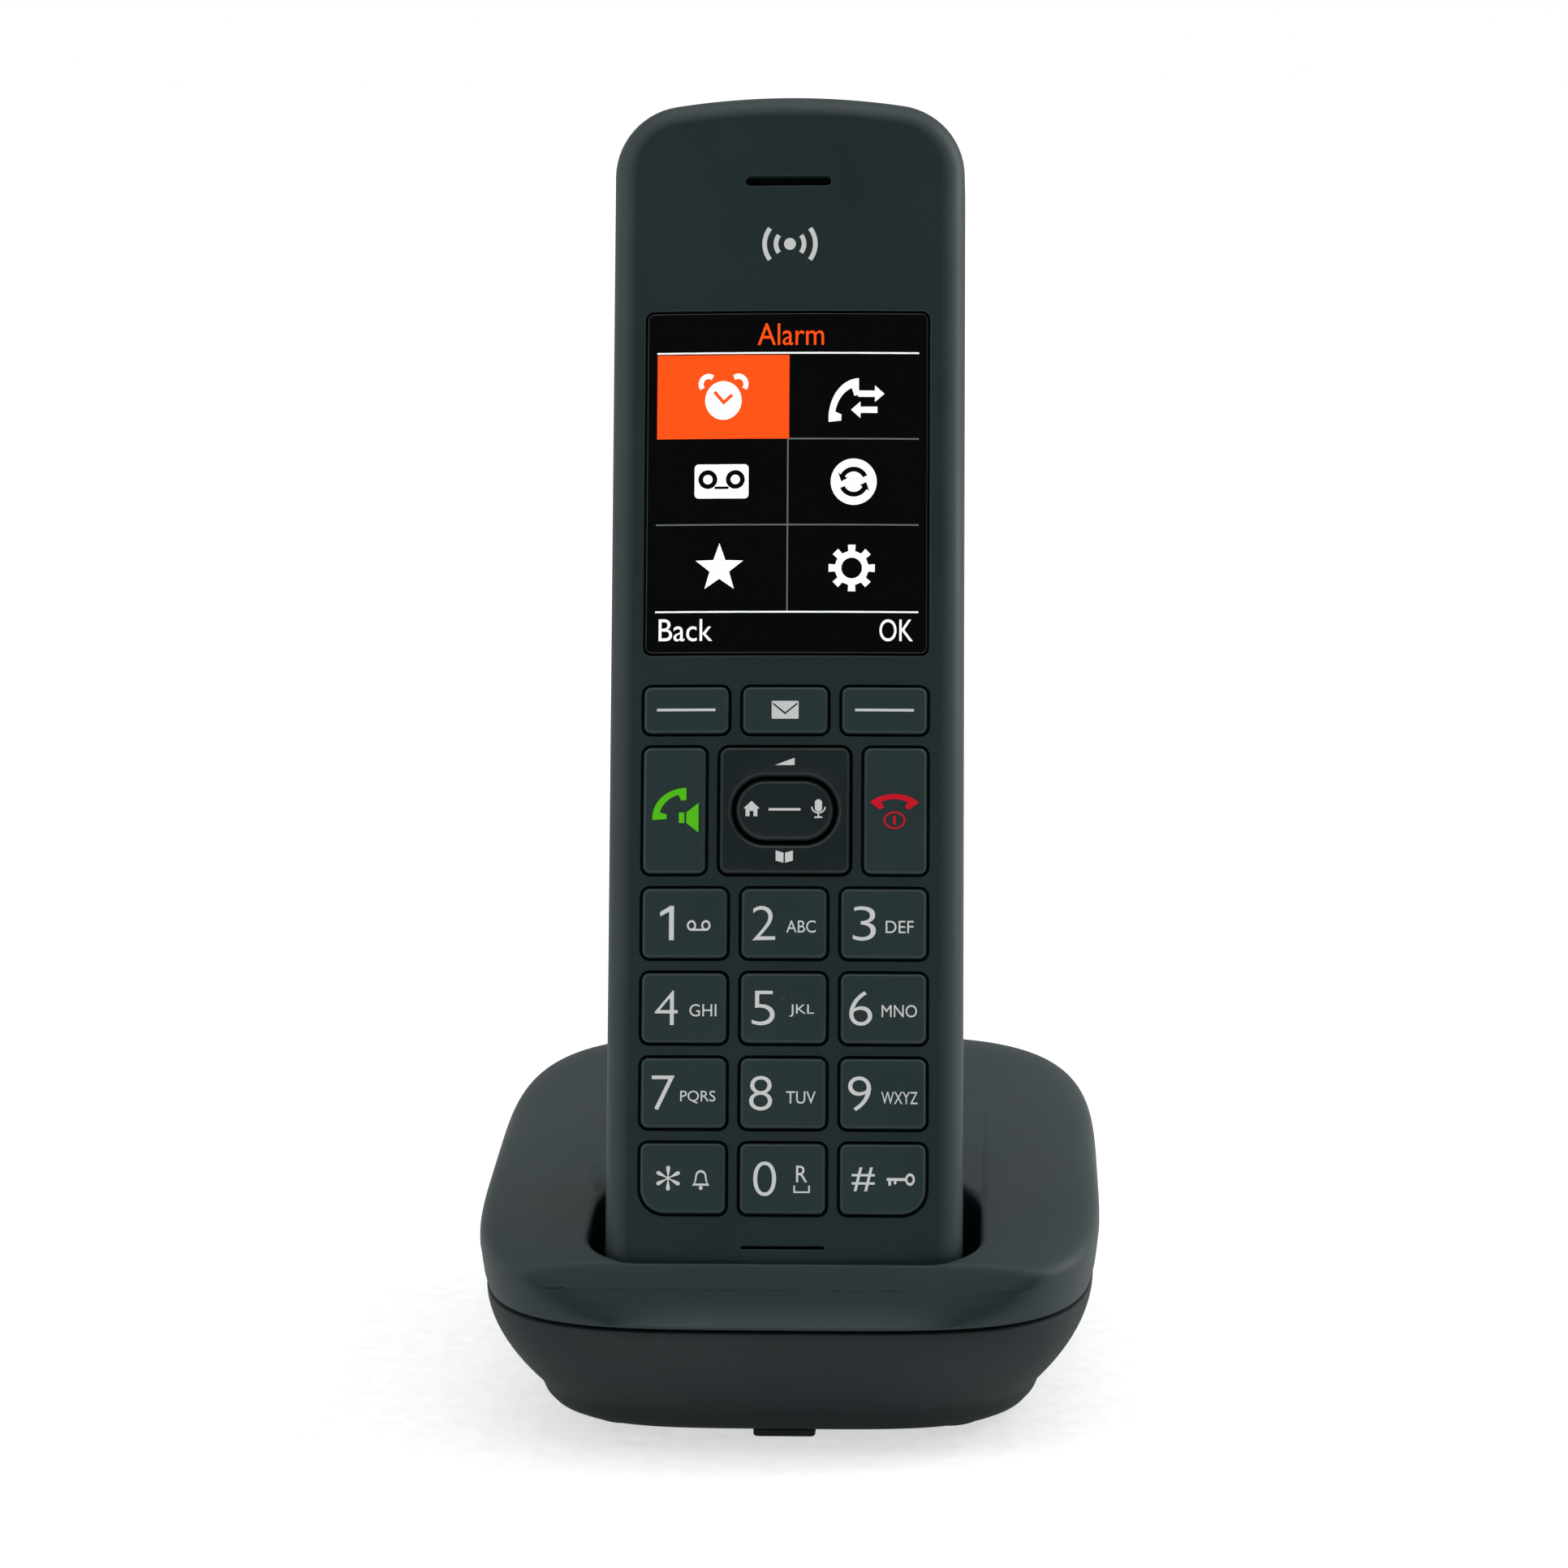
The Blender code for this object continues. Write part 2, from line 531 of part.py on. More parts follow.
def make_rear_shell(handset):
    """The back half: battery opening, ringer slots, screw holes and charge pad slots."""
    shell = add_part("handset_rear_shell",
                     extrude([handset_outline(0.0)], -REAR_DEPTH, -GAP / 2, round_low=BACK_ROUND, steps=4),
                     "body_plastic", handset)
    hollow = add_cutter("rear_hollow",
                        extrude([handset_outline(HANDSET_WALL)], BACK_INSIDE, HANDSET_WALL,
                                round_low=BACK_ROUND - HANDSET_WALL), handset)
    recess = add_cutter("cover_recess",
                        extrude([box_at(0.0, COVER_MIDDLE, COVER_WIDTH + 2 * GAP, COVER_LENGTH + 2 * GAP,
                                        COVER_CORNER + GAP)], -REAR_DEPTH - HANDSET_WALL, COVER_TOP + GAP),
                        handset)
    opening = add_cutter("battery_opening",
                         extrude([box_at(0.0, COVER_MIDDLE, COVER_WIDTH - 2 * COVER_LEDGE,
                                         COVER_LENGTH - 2 * COVER_LEDGE, COVER_CORNER - COVER_LEDGE)],
                                 -REAR_DEPTH, BACK_INSIDE + HANDSET_WALL), handset)
    slots = [box_at(0.0, RINGER_PLACE + (row - (RINGER_SLOTS - 1) / 2) * RINGER_PITCH, *RINGER_SLOT,
                    RINGER_SLOT[1] / 2.1) for row in range(RINGER_SLOTS)]
    grille = add_cutter("ringer_slots", extrude(slots, -REAR_DEPTH - HANDSET_WALL,
                                                BACK_INSIDE + HANDSET_WALL / 2), handset)
    cutters = [hollow, recess, opening, grille]
    for side, sign in (("left", -1), ("right", 1)):
        place = (sign * SCREW_PLACE[0], SCREW_PLACE[1], 0.0)
        post = cylinder(POST_RADIUS, -REAR_DEPTH + HANDSET_WALL / 2, -GAP, 12)
        cut(hollow, add_cutter(f"rear_boss_{side}", post, handset, place))
        sink = cylinder(SCREW_HEAD[0] + GAP, -REAR_DEPTH - HANDSET_WALL, BACK_INSIDE, 12)
        head = add_cutter(f"screw_sink_{side}", sink, handset, place)
        bore = add_cutter(f"screw_bore_{side}", cylinder(SCREW_SHANK + GAP, -REAR_DEPTH, HANDSET_WALL, 12),
                          handset, place)
        slot = add_cutter(f"pad_slot_{side}",
                          box((PAD_SIZE[0] + 2 * GAP, 4 * HANDSET_WALL, PAD_SIZE[1] + 2 * GAP)), handset,
                          (sign * PAD_SPREAD, 0.0, -PAD_DEPTH))
        cutters += [head, bore, slot]
    cut(shell, *cutters)


# ---- handset keys and display -------------------------------------------------------
def make_plain_keys(handset):
    """Each key: a cap with a soft edge on a flange that stays under the face."""
    for name, x, y, width, height, corners in key_table():
        cap = extrude([box_at(0.0, 0.0, width, height, corners)], FLANGE_TOP - KEY_FLANGE / 2, KEY_TOP,
                      round_high=KEY_EDGE, steps=2)
        reach = KEY_GAP + FLANGE_REACH
        flange = extrude([box_at(0.0, 0.0, width + 2 * reach, height + 2 * reach, grown(corners, reach), 1)],
                         FLANGE_LOW, FLANGE_TOP)
        key = add_part(name, cap, "key_plastic", handset, (x, y, 0.0))
        unite(key, add_cutter(f"{name}_flange", flange, handset, (x, y, 0.0)))


def make_rocker(handset):
    """The square rocker, which tilts about X, and the oval key in it, which tilts about Y."""
    pivot_z = (MAT_TOP + FRONT_DEPTH) / 2
    rocker_low = FLANGE_LOW - pivot_z
    rocker = add_part("nav_rocker",
                      extrude([box_at(0.0, 0.0, NAV_WIDTH, NAV_HEIGHT, KEY_CORNER)], rocker_low,
                              KEY_TOP - pivot_z, round_high=KEY_EDGE, steps=2),
                      "rocker_plastic", handset, (0.0, NAV_MIDDLE, pivot_z))
    oval_corner = OVAL_HEIGHT / 2.02
    hole = add_cutter("oval_hole",
                      extrude([box_at(0.0, 0.0, OVAL_WIDTH + 2 * TILT_GAP, OVAL_HEIGHT + 2 * TILT_GAP,
                                      oval_corner + TILT_GAP, 5)], rocker_low - MAT_THICKNESS,
                              KEY_TOP + HANDSET_WALL - pivot_z), handset, (0.0, NAV_MIDDLE, pivot_z))
    cut(rocker, hole)
    add_part("nav_oval_key",
             extrude([box_at(0.0, 0.0, OVAL_WIDTH, OVAL_HEIGHT, oval_corner, 5)], rocker_low,
                     KEY_TOP - pivot_z, round_high=KEY_EDGE, steps=2),
             "key_plastic", handset, (0.0, NAV_MIDDLE, pivot_z))


def make_display(handset):
    """The window in its recess, the foam ring behind it and the display panel."""
    window_top = FRONT_DEPTH - WINDOW_SINK
    add_part("display_window",
             extrude([box_at(0.0, WINDOW_MIDDLE, PANEL_WIDTH, WINDOW_HEIGHT, KEY_CORNER)],
                     window_top - WINDOW_THICKNESS, window_top), "window_plastic", handset)
    panel_width = PANEL_WIDTH
    panel_height = WINDOW_HEIGHT - WINDOW_LEDGE
    gasket_top = CEILING - GAP
    gasket_low = gasket_top - GASKET_THICKNESS
    add_part("display_gasket",
             extrude([box_at(0.0, WINDOW_MIDDLE, panel_width, panel_height, KEY_CORNER),
                      box_at(0.0, WINDOW_MIDDLE, panel_width - 2 * GASKET_WIDTH,
                             panel_height - 2 * GASKET_WIDTH, KEY_CORNER)], gasket_low, gasket_top),
             "foam", handset)
    panel_top = gasket_low - GAP
    add_part("display_panel",
             extrude([box_at(0.0, WINDOW_MIDDLE, panel_width, panel_height, KEY_CORNER)],
                     panel_top - DISPLAY_THICKNESS, panel_top), "display_glass", handset)


# ---- handset: inner pieces -------------------------------------------------------------
def make_inner_pieces(handset):
    """Keypad mat, circuit board, earpiece, ringer, microphone, screws and charge pads."""
    mat_high = SOFT_START + SOFT_HEIGHT + KEY_GAP + FLANGE_REACH
    mat_low = DIGIT_ROW_START - KEY_GAP - FLANGE_REACH
    add_part("keypad_mat",
             extrude([rounded_box(-PANEL_HALF, PANEL_HALF, mat_low, mat_high, KEY_CORNER)], MAT_LOW,
                     MAT_TOP), "silicone", handset)
    board_half = HANDSET_WIDTH / 2 - HANDSET_WALL - 2 * GAP - HANDSET_WALL / 2
    add_part("handset_circuit_board",
             extrude([rounded_box(-board_half, board_half, BOARD_START, BOARD_START + BOARD_LENGTH,
                                  BOTTOM_CORNER - HANDSET_WALL)], BOARD_LOW, BOARD_TOP),
             "circuit_board", handset)
    ear_top = CEILING - GAP
    add_part("earpiece_speaker", cylinder(EARPIECE[0], ear_top - EARPIECE[1], ear_top, 24), "steel",
             handset, (0.0, HANDSET_LENGTH - EAR_SLOT_DROP, 0.0))
    ringer_low = BACK_INSIDE + GAP
    add_part("ringer_speaker", cylinder(RINGER[0], ringer_low, ringer_low + RINGER[1], 24), "steel",
             handset, (0.0, RINGER_PLACE, 0.0))
    add_part("microphone", cylinder(CAPSULE[0], MAT_LOW, MAT_LOW + CAPSULE[1], 16), "contact_metal",
             handset, (0.0, MIC_RISE, 0.0))
    for side, sign in (("left", -1), ("right", 1)):
        add_part(f"handset_screw_{side}", handset_screw(), "steel", handset,
                 (sign * SCREW_PLACE[0], SCREW_PLACE[1], BACK_INSIDE - GAP), (math.pi, 0.0, 0.0))
        pad_length = HANDSET_WALL + 2 * GAP
        add_part(f"charge_pad_{side}",
                 box((PAD_SIZE[0], pad_length, PAD_SIZE[1]), (0.0, pad_length / 2, 0.0)), "contact_metal",
                 handset, (sign * PAD_SPREAD, GAP, -PAD_DEPTH))


def handset_screw():
    """A screw whose head faces +Z, with the head's underside at Z = 0."""
    radius, thickness = SCREW_HEAD
    length = -BACK_INSIDE + CEILING - 3 * HANDSET_WALL
    profile = [(0.0, thickness), (radius, thickness), (radius, 0.0), (SCREW_SHANK, 0.0),
               (SCREW_SHANK, -length), (0.0, -length - SCREW_SHANK)]
    return turned(profile, 12)


def make_batteries(handset):
    """The bay, the two cells side by side and head to tail, their end plates and the cover."""
    ceiling = CELL_DROP + CELL_RADIUS + BAY_CLEARANCE
    bay_low = COVER_TOP + 2 * GAP
    outer = box((BAY_WIDTH + 2 * BAY_WALL, BAY_LENGTH + 2 * BAY_WALL, ceiling + BAY_WALL - bay_low),
                (0.0, BAY_MIDDLE, (ceiling + BAY_WALL + bay_low) / 2))
    bay = add_part("battery_bay", outer, "body_plastic", handset)
    inner_low = bay_low - BAY_WALL
    inner = box((BAY_WIDTH, BAY_LENGTH, ceiling - inner_low), (0.0, BAY_MIDDLE, (ceiling + inner_low) / 2))
    cut(bay, add_cutter("bay_hollow", inner, handset))
    nub_radius, nub_length = CELL_NUB
    half = CELL_LENGTH / 2
    profile = [(0.0, half + nub_length), (nub_radius, half + nub_length), (nub_radius, half),
               (CELL_RADIUS - 2 * GAP, half), (CELL_RADIUS, half - 2 * GAP), (CELL_RADIUS, -half + 2 * GAP),
               (CELL_RADIUS - 2 * GAP, -half), (0.0, -half)]
    cell_x = CELL_RADIUS + BAY_CLEARANCE / 2
    for name, sign in (("battery_1", -1), ("battery_2", 1)):
        turn = -sign * math.pi / 2
        y = BAY_MIDDLE - sign * nub_length / 2
        add_part(name, turned(profile), "cell_label", handset, (sign * cell_x, y, CELL_DROP),
                 (turn, 0.0, 0.0))
    for name, y in (("battery_contact_low", BAY_START + GAP), ("battery_contact_high",
                                                               BAY_START + BAY_LENGTH - GAP - SPRING_PLATE)):
        plate = box((BAY_WIDTH - 2 * GAP, SPRING_PLATE, 2 * CELL_RADIUS - 2 * GAP),
                    (0.0, y + SPRING_PLATE / 2, CELL_DROP))
        add_part(name, plate, "steel", handset)


def make_battery_cover(handset):
    """The cover, which swings on the outer edge of its lower end."""
    hinge = add_empty("battery_cover_hinge", (0.0, COVER_START, COVER_LOW), parent=handset)
    plate = extrude([rounded_box(-COVER_WIDTH / 2, COVER_WIDTH / 2, 0.0, COVER_LENGTH, COVER_CORNER)],
                    0.0, COVER_THICKNESS)
    cover = add_part("battery_cover", plate, "body_plastic", hinge)
    notch = extrude([box_at(0.0, COVER_LENGTH, *COVER_NOTCH, COVER_NOTCH[1] / 3)], -COVER_THICKNESS,
                    COVER_THICKNESS / 2)
    cut(cover, add_cutter("cover_notch", notch, hinge))


# ---- cradle shells -----------------------------------------------------------------------
def crown_rings(inset, levels=9):
    """The upper shell's rings, moved in by an inset, from the widest line to the crown."""
    half_x = BASE_WIDTH / 2 - inset
    half_y = BASE_DEPTH / 2 - inset
    rings = []
    for level in range(levels):
        angle = LAST_RING * level / (levels - 1)
        shrink = math.cos(angle) ** CROWN_FULLNESS
        rise = math.sin(angle) ** CROWN_FLATNESS
        ring = []
        for x, y in superellipse(half_x * shrink, half_y * shrink):
            wide = SEAM_HEIGHT + WIDE_RISE + WIDE_SLOPE * y
            height = wide + (CROWN_RISE - inset + CROWN_SLOPE * y) * rise
            ring.append((x, max(y, facet(height, inset)), height))
        rings.append(ring)
    return rings


def facet(height, inset):
    """How far forward the upper shell reaches at a height: its front is one flat slope."""
    foot = -BASE_DEPTH / 2 + SEAM_TUCK + inset / math.sin(FACET_SLOPE)
    return foot + (height - SEAM_HEIGHT) / math.tan(FACET_SLOPE)


def level_ring(tuck, height):
    """A level ring of the cradle's plan, moved in by a tuck."""
    return [(x, y, height) for x, y in superellipse(BASE_WIDTH / 2 - tuck, BASE_DEPTH / 2 - tuck)]


def belly_ring(inset):
    """A ring half way from the seam to the widest line."""
    height = SEAM_HEIGHT + WIDE_RISE / 2
    return [(x, max(y, facet(height, inset)), height)
            for x, y, _ in level_ring(SEAM_TUCK / 4 + inset, height)]


def bowl_rings(inset, floor, levels=7):
    """The lower shell's rings from its floor up to the seam."""
    rings = [level_ring(SEAM_TUCK + BOWL_TUCK + BOTTOM_ROUND + inset, floor)]
    span = SEAM_HEIGHT - GAP / 2 - BOTTOM_HEIGHT - BOTTOM_ROUND
    for level in range(levels):
        share = 1.0 - level / (levels - 1)
        tuck = SEAM_TUCK + BOWL_TUCK * share ** BOWL_CURVE + inset
        rings.append(level_ring(tuck, BOTTOM_HEIGHT + BOTTOM_ROUND + span * (1.0 - share)))
    middle = level_ring(SEAM_TUCK + BOWL_TUCK + BOTTOM_ROUND * 0.3 + inset, floor + BOTTOM_ROUND * 0.3)
    rings.insert(1, middle)
    return rings


def make_top_shell(cradle, seat):
    """The upper shell: a crowned dome with the handset's pocket let into it."""
    seam = SEAM_HEIGHT + GAP / 2
    outer = loft([level_ring(SEAM_TUCK, BOTTOM_HEIGHT), level_ring(SEAM_TUCK, seam),
                  belly_ring(0.0), *crown_rings(0.0)])
    shell = add_part("base_top_shell", outer, "body_plastic", cradle)
    inset = SEAM_TUCK + BASE_WALL
    hollow_mesh = loft([level_ring(inset, -BASE_WALL), level_ring(inset, seam),
                        belly_ring(BASE_WALL), *crown_rings(BASE_WALL)])
    hollow = add_cutter("dome_hollow", hollow_mesh, cradle)
    below = add_cutter("below_seam", box((2 * BASE_WIDTH, 2 * BASE_DEPTH, 2 * SEAM_HEIGHT),
                                         (0.0, 0.0, seam - SEAM_HEIGHT)), cradle)
    unite(hollow, below)
    tub = extrude([pocket_outline(POCKET_WALL)], -GAP - POCKET_WALL, BASE_WIDTH)
    cut(hollow, add_cutter("pocket_tub", tub, seat))
    pocket = add_cutter("pocket", extrude([pocket_outline(0.0)], -GAP, BASE_WIDTH), seat)
    slots = [add_cutter(f"contact_slot_{side}",
                        box((CONTACT_SIZE[0] + 2 * GAP, CONTACT_SIZE[1] + 2 * GAP, 4 * POCKET_WALL)), seat,
                        (sign * PAD_SPREAD, PAD_DEPTH, 0.0)) for side, sign in (("left", -1), ("right", 1))]
    cut(shell, hollow, pocket, *slots)


def pocket_outline(grow):
    """The pocket's section: round the handset's own section, with room for each side."""
    half = HANDSET_WIDTH / 2 + POCKET_SIDE_GAP + grow
    front = POCKET_FRONT_CORNER + 1.5 * grow
    back = POCKET_BACK_CORNER + grow
    return rounded_box(-half, half, -FRONT_DEPTH - POCKET_FRONT_GAP - grow,
                       REAR_DEPTH + POCKET_BACK_GAP + grow, (front, front, back, back), 5)


def make_bottom_shell(cradle):
    """The lower shell: a bowl with recesses for feet and screws and a notch for the sockets."""
    shell = add_part("base_bottom_shell", loft(bowl_rings(0.0, BOTTOM_HEIGHT)), "lower_plastic", cradle)
    hollow_rings = bowl_rings(BASE_WALL, BOTTOM_HEIGHT + BASE_WALL)
    hollow_rings.append(level_ring(SEAM_TUCK + BASE_WALL, SEAM_HEIGHT + BASE_WALL))
    hollow = add_cutter("bowl_hollow", loft(hollow_rings), cradle)
    notch_width = 2 * NOTCH_HALF
    keep = add_cutter("notch_wall",
                      box((notch_width + 2 * BASE_WALL, BASE_DEPTH, NOTCH_TOP + BASE_WALL)), cradle,
                      (0.0, NOTCH_PLACE - BASE_WALL + BASE_DEPTH / 2, (NOTCH_TOP + BASE_WALL) / 2))
    cut(hollow, keep)
    notch_reach = NOTCH_TOP - BOTTOM_HEIGHT + BASE_WALL
    notch = add_cutter("notch", box((notch_width, BASE_DEPTH, notch_reach)), cradle,
                       (0.0, NOTCH_PLACE + BASE_DEPTH / 2, NOTCH_TOP - notch_reach / 2))
    cutters = [notch]
    for name, x, width in SOCKETS:
        hole = box((width, 4 * BASE_WALL, SOCKET_OPENING))
        cutters.append(add_cutter(f"{name}_hole", hole, cradle,
                                  (x, NOTCH_PLACE, SOCKET_LOW + SOCKET_HEIGHT / 2)))
    page_hole = box((PAGE_KEY[0] + 2 * KEY_GAP, 4 * BASE_WALL, PAGE_KEY[1] + 2 * KEY_GAP))
    cutters.append(add_cutter("page_key_hole", page_hole, cradle,
                              (PAGE_KEY_PLACE, NOTCH_PLACE, SOCKET_LOW + SOCKET_HEIGHT / 2)))
    for name, x, y in foot_table():
        recess = cylinder(FOOT[0] + GAP, -FOOT[1], BOTTOM_HEIGHT + FOOT_SINK, 20)
        cutters.append(add_cutter(f"{name}_recess", recess, cradle, (x, y, 0.0)))
    for name, x, y, post_top in screw_table():
        post = cylinder(POST_RADIUS, BOTTOM_HEIGHT, post_top, 12)
        cut(hollow, add_cutter(f"{name}_post", post, cradle, (x, y, 0.0)))
        sink = cylinder(SCREW_HEAD[0] + GAP, -FOOT[1], SCREW_SEAT, 12)
        cutters.append(add_cutter(f"{name}_sink", sink, cradle, (x, y, 0.0)))
        bore = cylinder(SCREW_SHANK + GAP, 0.0, 2 * post_top, 12)
        cutters.append(add_cutter(f"{name}_bore", bore, cradle, (x, y, 0.0)))
    cut(shell, hollow, *cutters)


def foot_table():
    """Name and place of each foot."""
    return [(f"foot_{end}_{side}", sign * FOOT_X, y)
            for end, y in (("front", -FOOT_Y), ("rear", FOOT_Y))
            for side, sign in (("left", -1), ("right", 1))]


def tub_floor_height(y):
    """Height of the underside of the pocket's floor, at a distance behind the middle."""
    drop = -GAP - POCKET_WALL
    along = (y - HANDSET_SEAT.y - drop * math.sin(LEAN)) / math.cos(LEAN)
    return HANDSET_SEAT.z - along * math.sin(LEAN) + drop * math.cos(LEAN)


def screw_table():
    """Name, place and post height of each cradle screw: the front posts end under the pocket."""
    front_top = tub_floor_height(FRONT_SCREW_Y + POST_RADIUS) - 2 * GAP
    rows = ((FRONT_SCREW[0], FRONT_SCREW_Y, front_top), (REAR_SCREW_X, REAR_SCREW_Y, REAR_POST_TOP))
    places = [(sign * x, y, top) for x, y, top in rows for sign in (-1, 1)]
    return [(f"base_screw_{index}", *place) for index, place in enumerate(places, start=1)]


# ---- cradle: smaller pieces ----------------------------------------------------------------
def make_base_pieces(cradle, seat):
    """Feet, tab, screws, circuit board, sockets, paging key and spring contacts."""
    for name, x, y in foot_table():
        add_part(name, cylinder(FOOT[0], 0.0, BOTTOM_HEIGHT + FOOT_SINK - GAP, 20), "rubber", cradle,
                 (x, y, 0.0))
    tab_top = BOTTOM_HEIGHT - GAP
    add_part("base_front_tab",
             extrude([rounded_box(-TAB_SIZE[0] / 2, TAB_SIZE[0] / 2, 0.0, TAB_SIZE[1], KEY_CORNER)],
                     0.0, tab_top), "lower_plastic", cradle,
             (0.0, -BASE_DEPTH / 2 + TAB_INSET, 0.0))
    for name, x, y, post_top in screw_table():
        length = post_top - SCREW_SEAT - GAP
        profile = [(0.0, length), (SCREW_SHANK, length - SCREW_SHANK), (SCREW_SHANK, 0.0),
                   (SCREW_HEAD[0], 0.0), (SCREW_HEAD[0], -SCREW_HEAD[1]), (0.0, -SCREW_HEAD[1])]
        add_part(name, turned(profile, 12), "steel", cradle, (x, y, SCREW_SEAT - GAP))
    tub_back = REAR_DEPTH + POCKET_BACK_GAP + POCKET_WALL
    board_front = HANDSET_SEAT.y + tub_back * math.cos(LEAN)
    board_back = WALL_INSIDE - SOCKET_DEPTH - GAP
    board = box((BASE_BOARD_WIDTH, board_back - board_front, BASE_BOARD_THICKNESS),
                (0.0, (board_front + board_back) / 2, BASE_BOARD_LOW + BASE_BOARD_THICKNESS / 2))
    add_part("base_circuit_board", board, "circuit_board", cradle)
    middle = SOCKET_LOW + SOCKET_HEIGHT / 2
    for name, x, width in SOCKETS:
        body = box((width + 2 * SOCKET_WALL, SOCKET_DEPTH, SOCKET_HEIGHT),
                   (0.0, WALL_INSIDE - SOCKET_DEPTH / 2, middle))
        jack = add_part(name, body, "socket_plastic", cradle, (x, 0.0, 0.0))
        mouth = box((width, 2 * (SOCKET_DEPTH - SOCKET_WALL), SOCKET_OPENING), (0.0, WALL_INSIDE, middle))
        cut(jack, add_cutter(f"{name}_mouth", mouth, cradle, (x, 0.0, 0.0)))
    key_depth = PAGE_KEY[2]
    cap = box((PAGE_KEY[0], key_depth, PAGE_KEY[1]), (0.0, -key_depth / 2, 0.0))
    key = add_part("page_key", cap, "key_plastic", cradle,
                   (PAGE_KEY_PLACE, NOTCH_PLACE + KEY_RISE, middle))
    reach = 2 * (KEY_GAP + FLANGE_REACH)
    stop = box((PAGE_KEY[0] + reach, KEY_FLANGE, PAGE_KEY[1] + reach),
               (0.0, -KEY_RISE - BASE_WALL - GAP - KEY_FLANGE / 2, 0.0))
    unite(key, add_cutter("page_key_stop", stop, cradle, (PAGE_KEY_PLACE, NOTCH_PLACE + KEY_RISE, middle)))
    for side, sign in (("left", -1), ("right", 1)):
        pin = extrude([box_at(0.0, 0.0, *CONTACT_SIZE, KEY_CORNER)], -CONTACT_LENGTH, 0.0,
                      round_high=KEY_EDGE, steps=2)
        add_part(f"base_contact_{side}", pin, "contact_metal", seat, (sign * PAD_SPREAD, PAD_DEPTH, 0.0))


def main():
    """Build the whole phone."""
    clear_scene()
    new_collection(PARTS)
    new_collection(CUTTERS)
    make_materials()
    cradle = add_empty("cradle", (0.0, -SEAM_TUCK / 2, 0.0))
    seat = add_empty("handset_seat", HANDSET_SEAT, (-LEAN, 0.0, 0.0), cradle)
    handset = add_empty("handset", HANDSET_SEAT, (math.pi / 2 - LEAN, 0.0, 0.0), cradle)
    make_front_shell(handset)
    make_rear_shell(handset)
    make_plain_keys(handset)
    make_rocker(handset)
    make_display(handset)
    make_inner_pieces(handset)
    make_batteries(handset)
    make_battery_cover(handset)
    make_top_shell(cradle, seat)
    make_bottom_shell(cradle)
    make_base_pieces(cradle, seat)


main()
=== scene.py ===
"""The looks of a cordless phone that leans in its charging cradle.

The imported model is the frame.  Lengths are in metres in the row frame: +Z is up and the
front faces -Y.  The handset's pieces are shaped flat, X across, Y along the handset from
its bottom end and Z out of its face, with Z = 0 where its two shells meet, and are then
leaned back into the cradle.  Every finished piece has its place in its mesh.
"""

import logging
import math
from collections.abc import Callable, Sequence
from dataclasses import dataclass, field
from enum import Enum

import bmesh
import bpy
from mathutils import Matrix, Vector
from mathutils.bvhtree import BVHTree

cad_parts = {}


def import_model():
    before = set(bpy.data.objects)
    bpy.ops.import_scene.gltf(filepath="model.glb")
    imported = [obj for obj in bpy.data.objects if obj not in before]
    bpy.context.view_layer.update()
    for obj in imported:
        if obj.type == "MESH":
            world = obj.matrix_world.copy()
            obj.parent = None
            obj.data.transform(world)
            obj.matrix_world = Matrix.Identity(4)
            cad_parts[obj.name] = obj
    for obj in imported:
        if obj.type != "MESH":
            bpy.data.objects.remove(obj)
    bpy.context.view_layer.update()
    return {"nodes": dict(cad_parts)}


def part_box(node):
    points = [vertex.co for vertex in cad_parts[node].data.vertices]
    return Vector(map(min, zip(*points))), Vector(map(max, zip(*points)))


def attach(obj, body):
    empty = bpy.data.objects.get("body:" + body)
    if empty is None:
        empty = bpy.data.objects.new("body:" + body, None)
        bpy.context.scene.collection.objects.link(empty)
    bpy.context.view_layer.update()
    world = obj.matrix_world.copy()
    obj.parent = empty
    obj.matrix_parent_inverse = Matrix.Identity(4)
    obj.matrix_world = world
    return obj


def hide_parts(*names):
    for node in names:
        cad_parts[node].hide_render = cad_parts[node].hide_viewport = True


LOG = logging.getLogger("cordless_phone")
MM = 0.001
Point = tuple[float, float]
Outline = list[Point]
Shape = Callable[[float], Outline]
Profile = list[tuple[float, float]]


# ---- frames ------------------------------------------------------------------------
@dataclass(frozen=True)
class Lie:
    """A working frame: where its origin stands in the row frame and its turn about X."""

    origin: tuple[float, float, float] = (0.0, 0.0, 0.0)
    turn: float = 0.0

    def matrix(self) -> Matrix:
        """The matrix from this frame to the row frame."""
        return Matrix.Translation(self.origin) @ Matrix.Rotation(self.turn, 4, "X")

    def centre(self, node: str) -> Vector:
        """The middle of a CAD node's box in this frame."""
        low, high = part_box(node)
        return self.matrix().inverted() @ ((low + high) / 2)


LEAN = math.radians(16.0)
CONTACT_X = 9.0 * MM        # of the charge contacts and pads, from the middle
CUT_REACH = 1e-7            # how near to a plane a vertex counts as on it
SEAT_PLACE = (0.0, -31.6 * MM, 15.1 * MM)
CRADLE = Lie((0.0, -0.4 * MM, 0.0))
SEAT = Lie(SEAT_PLACE, -LEAN)
HANDSET = Lie(SEAT_PLACE, math.pi / 2 - LEAN)
ROW = Lie()


# ---- finishes ------------------------------------------------------------------------
class Grain(Enum):
    """The kinds of fine relief that a finish may have."""

    SATIN = "satin"
    SPARK = "spark eroded"
    BRUSHED = "brushed"
    SMOOTH = "smooth"
    TRACKS = "circuit tracks"
    LIT = "lit dots"


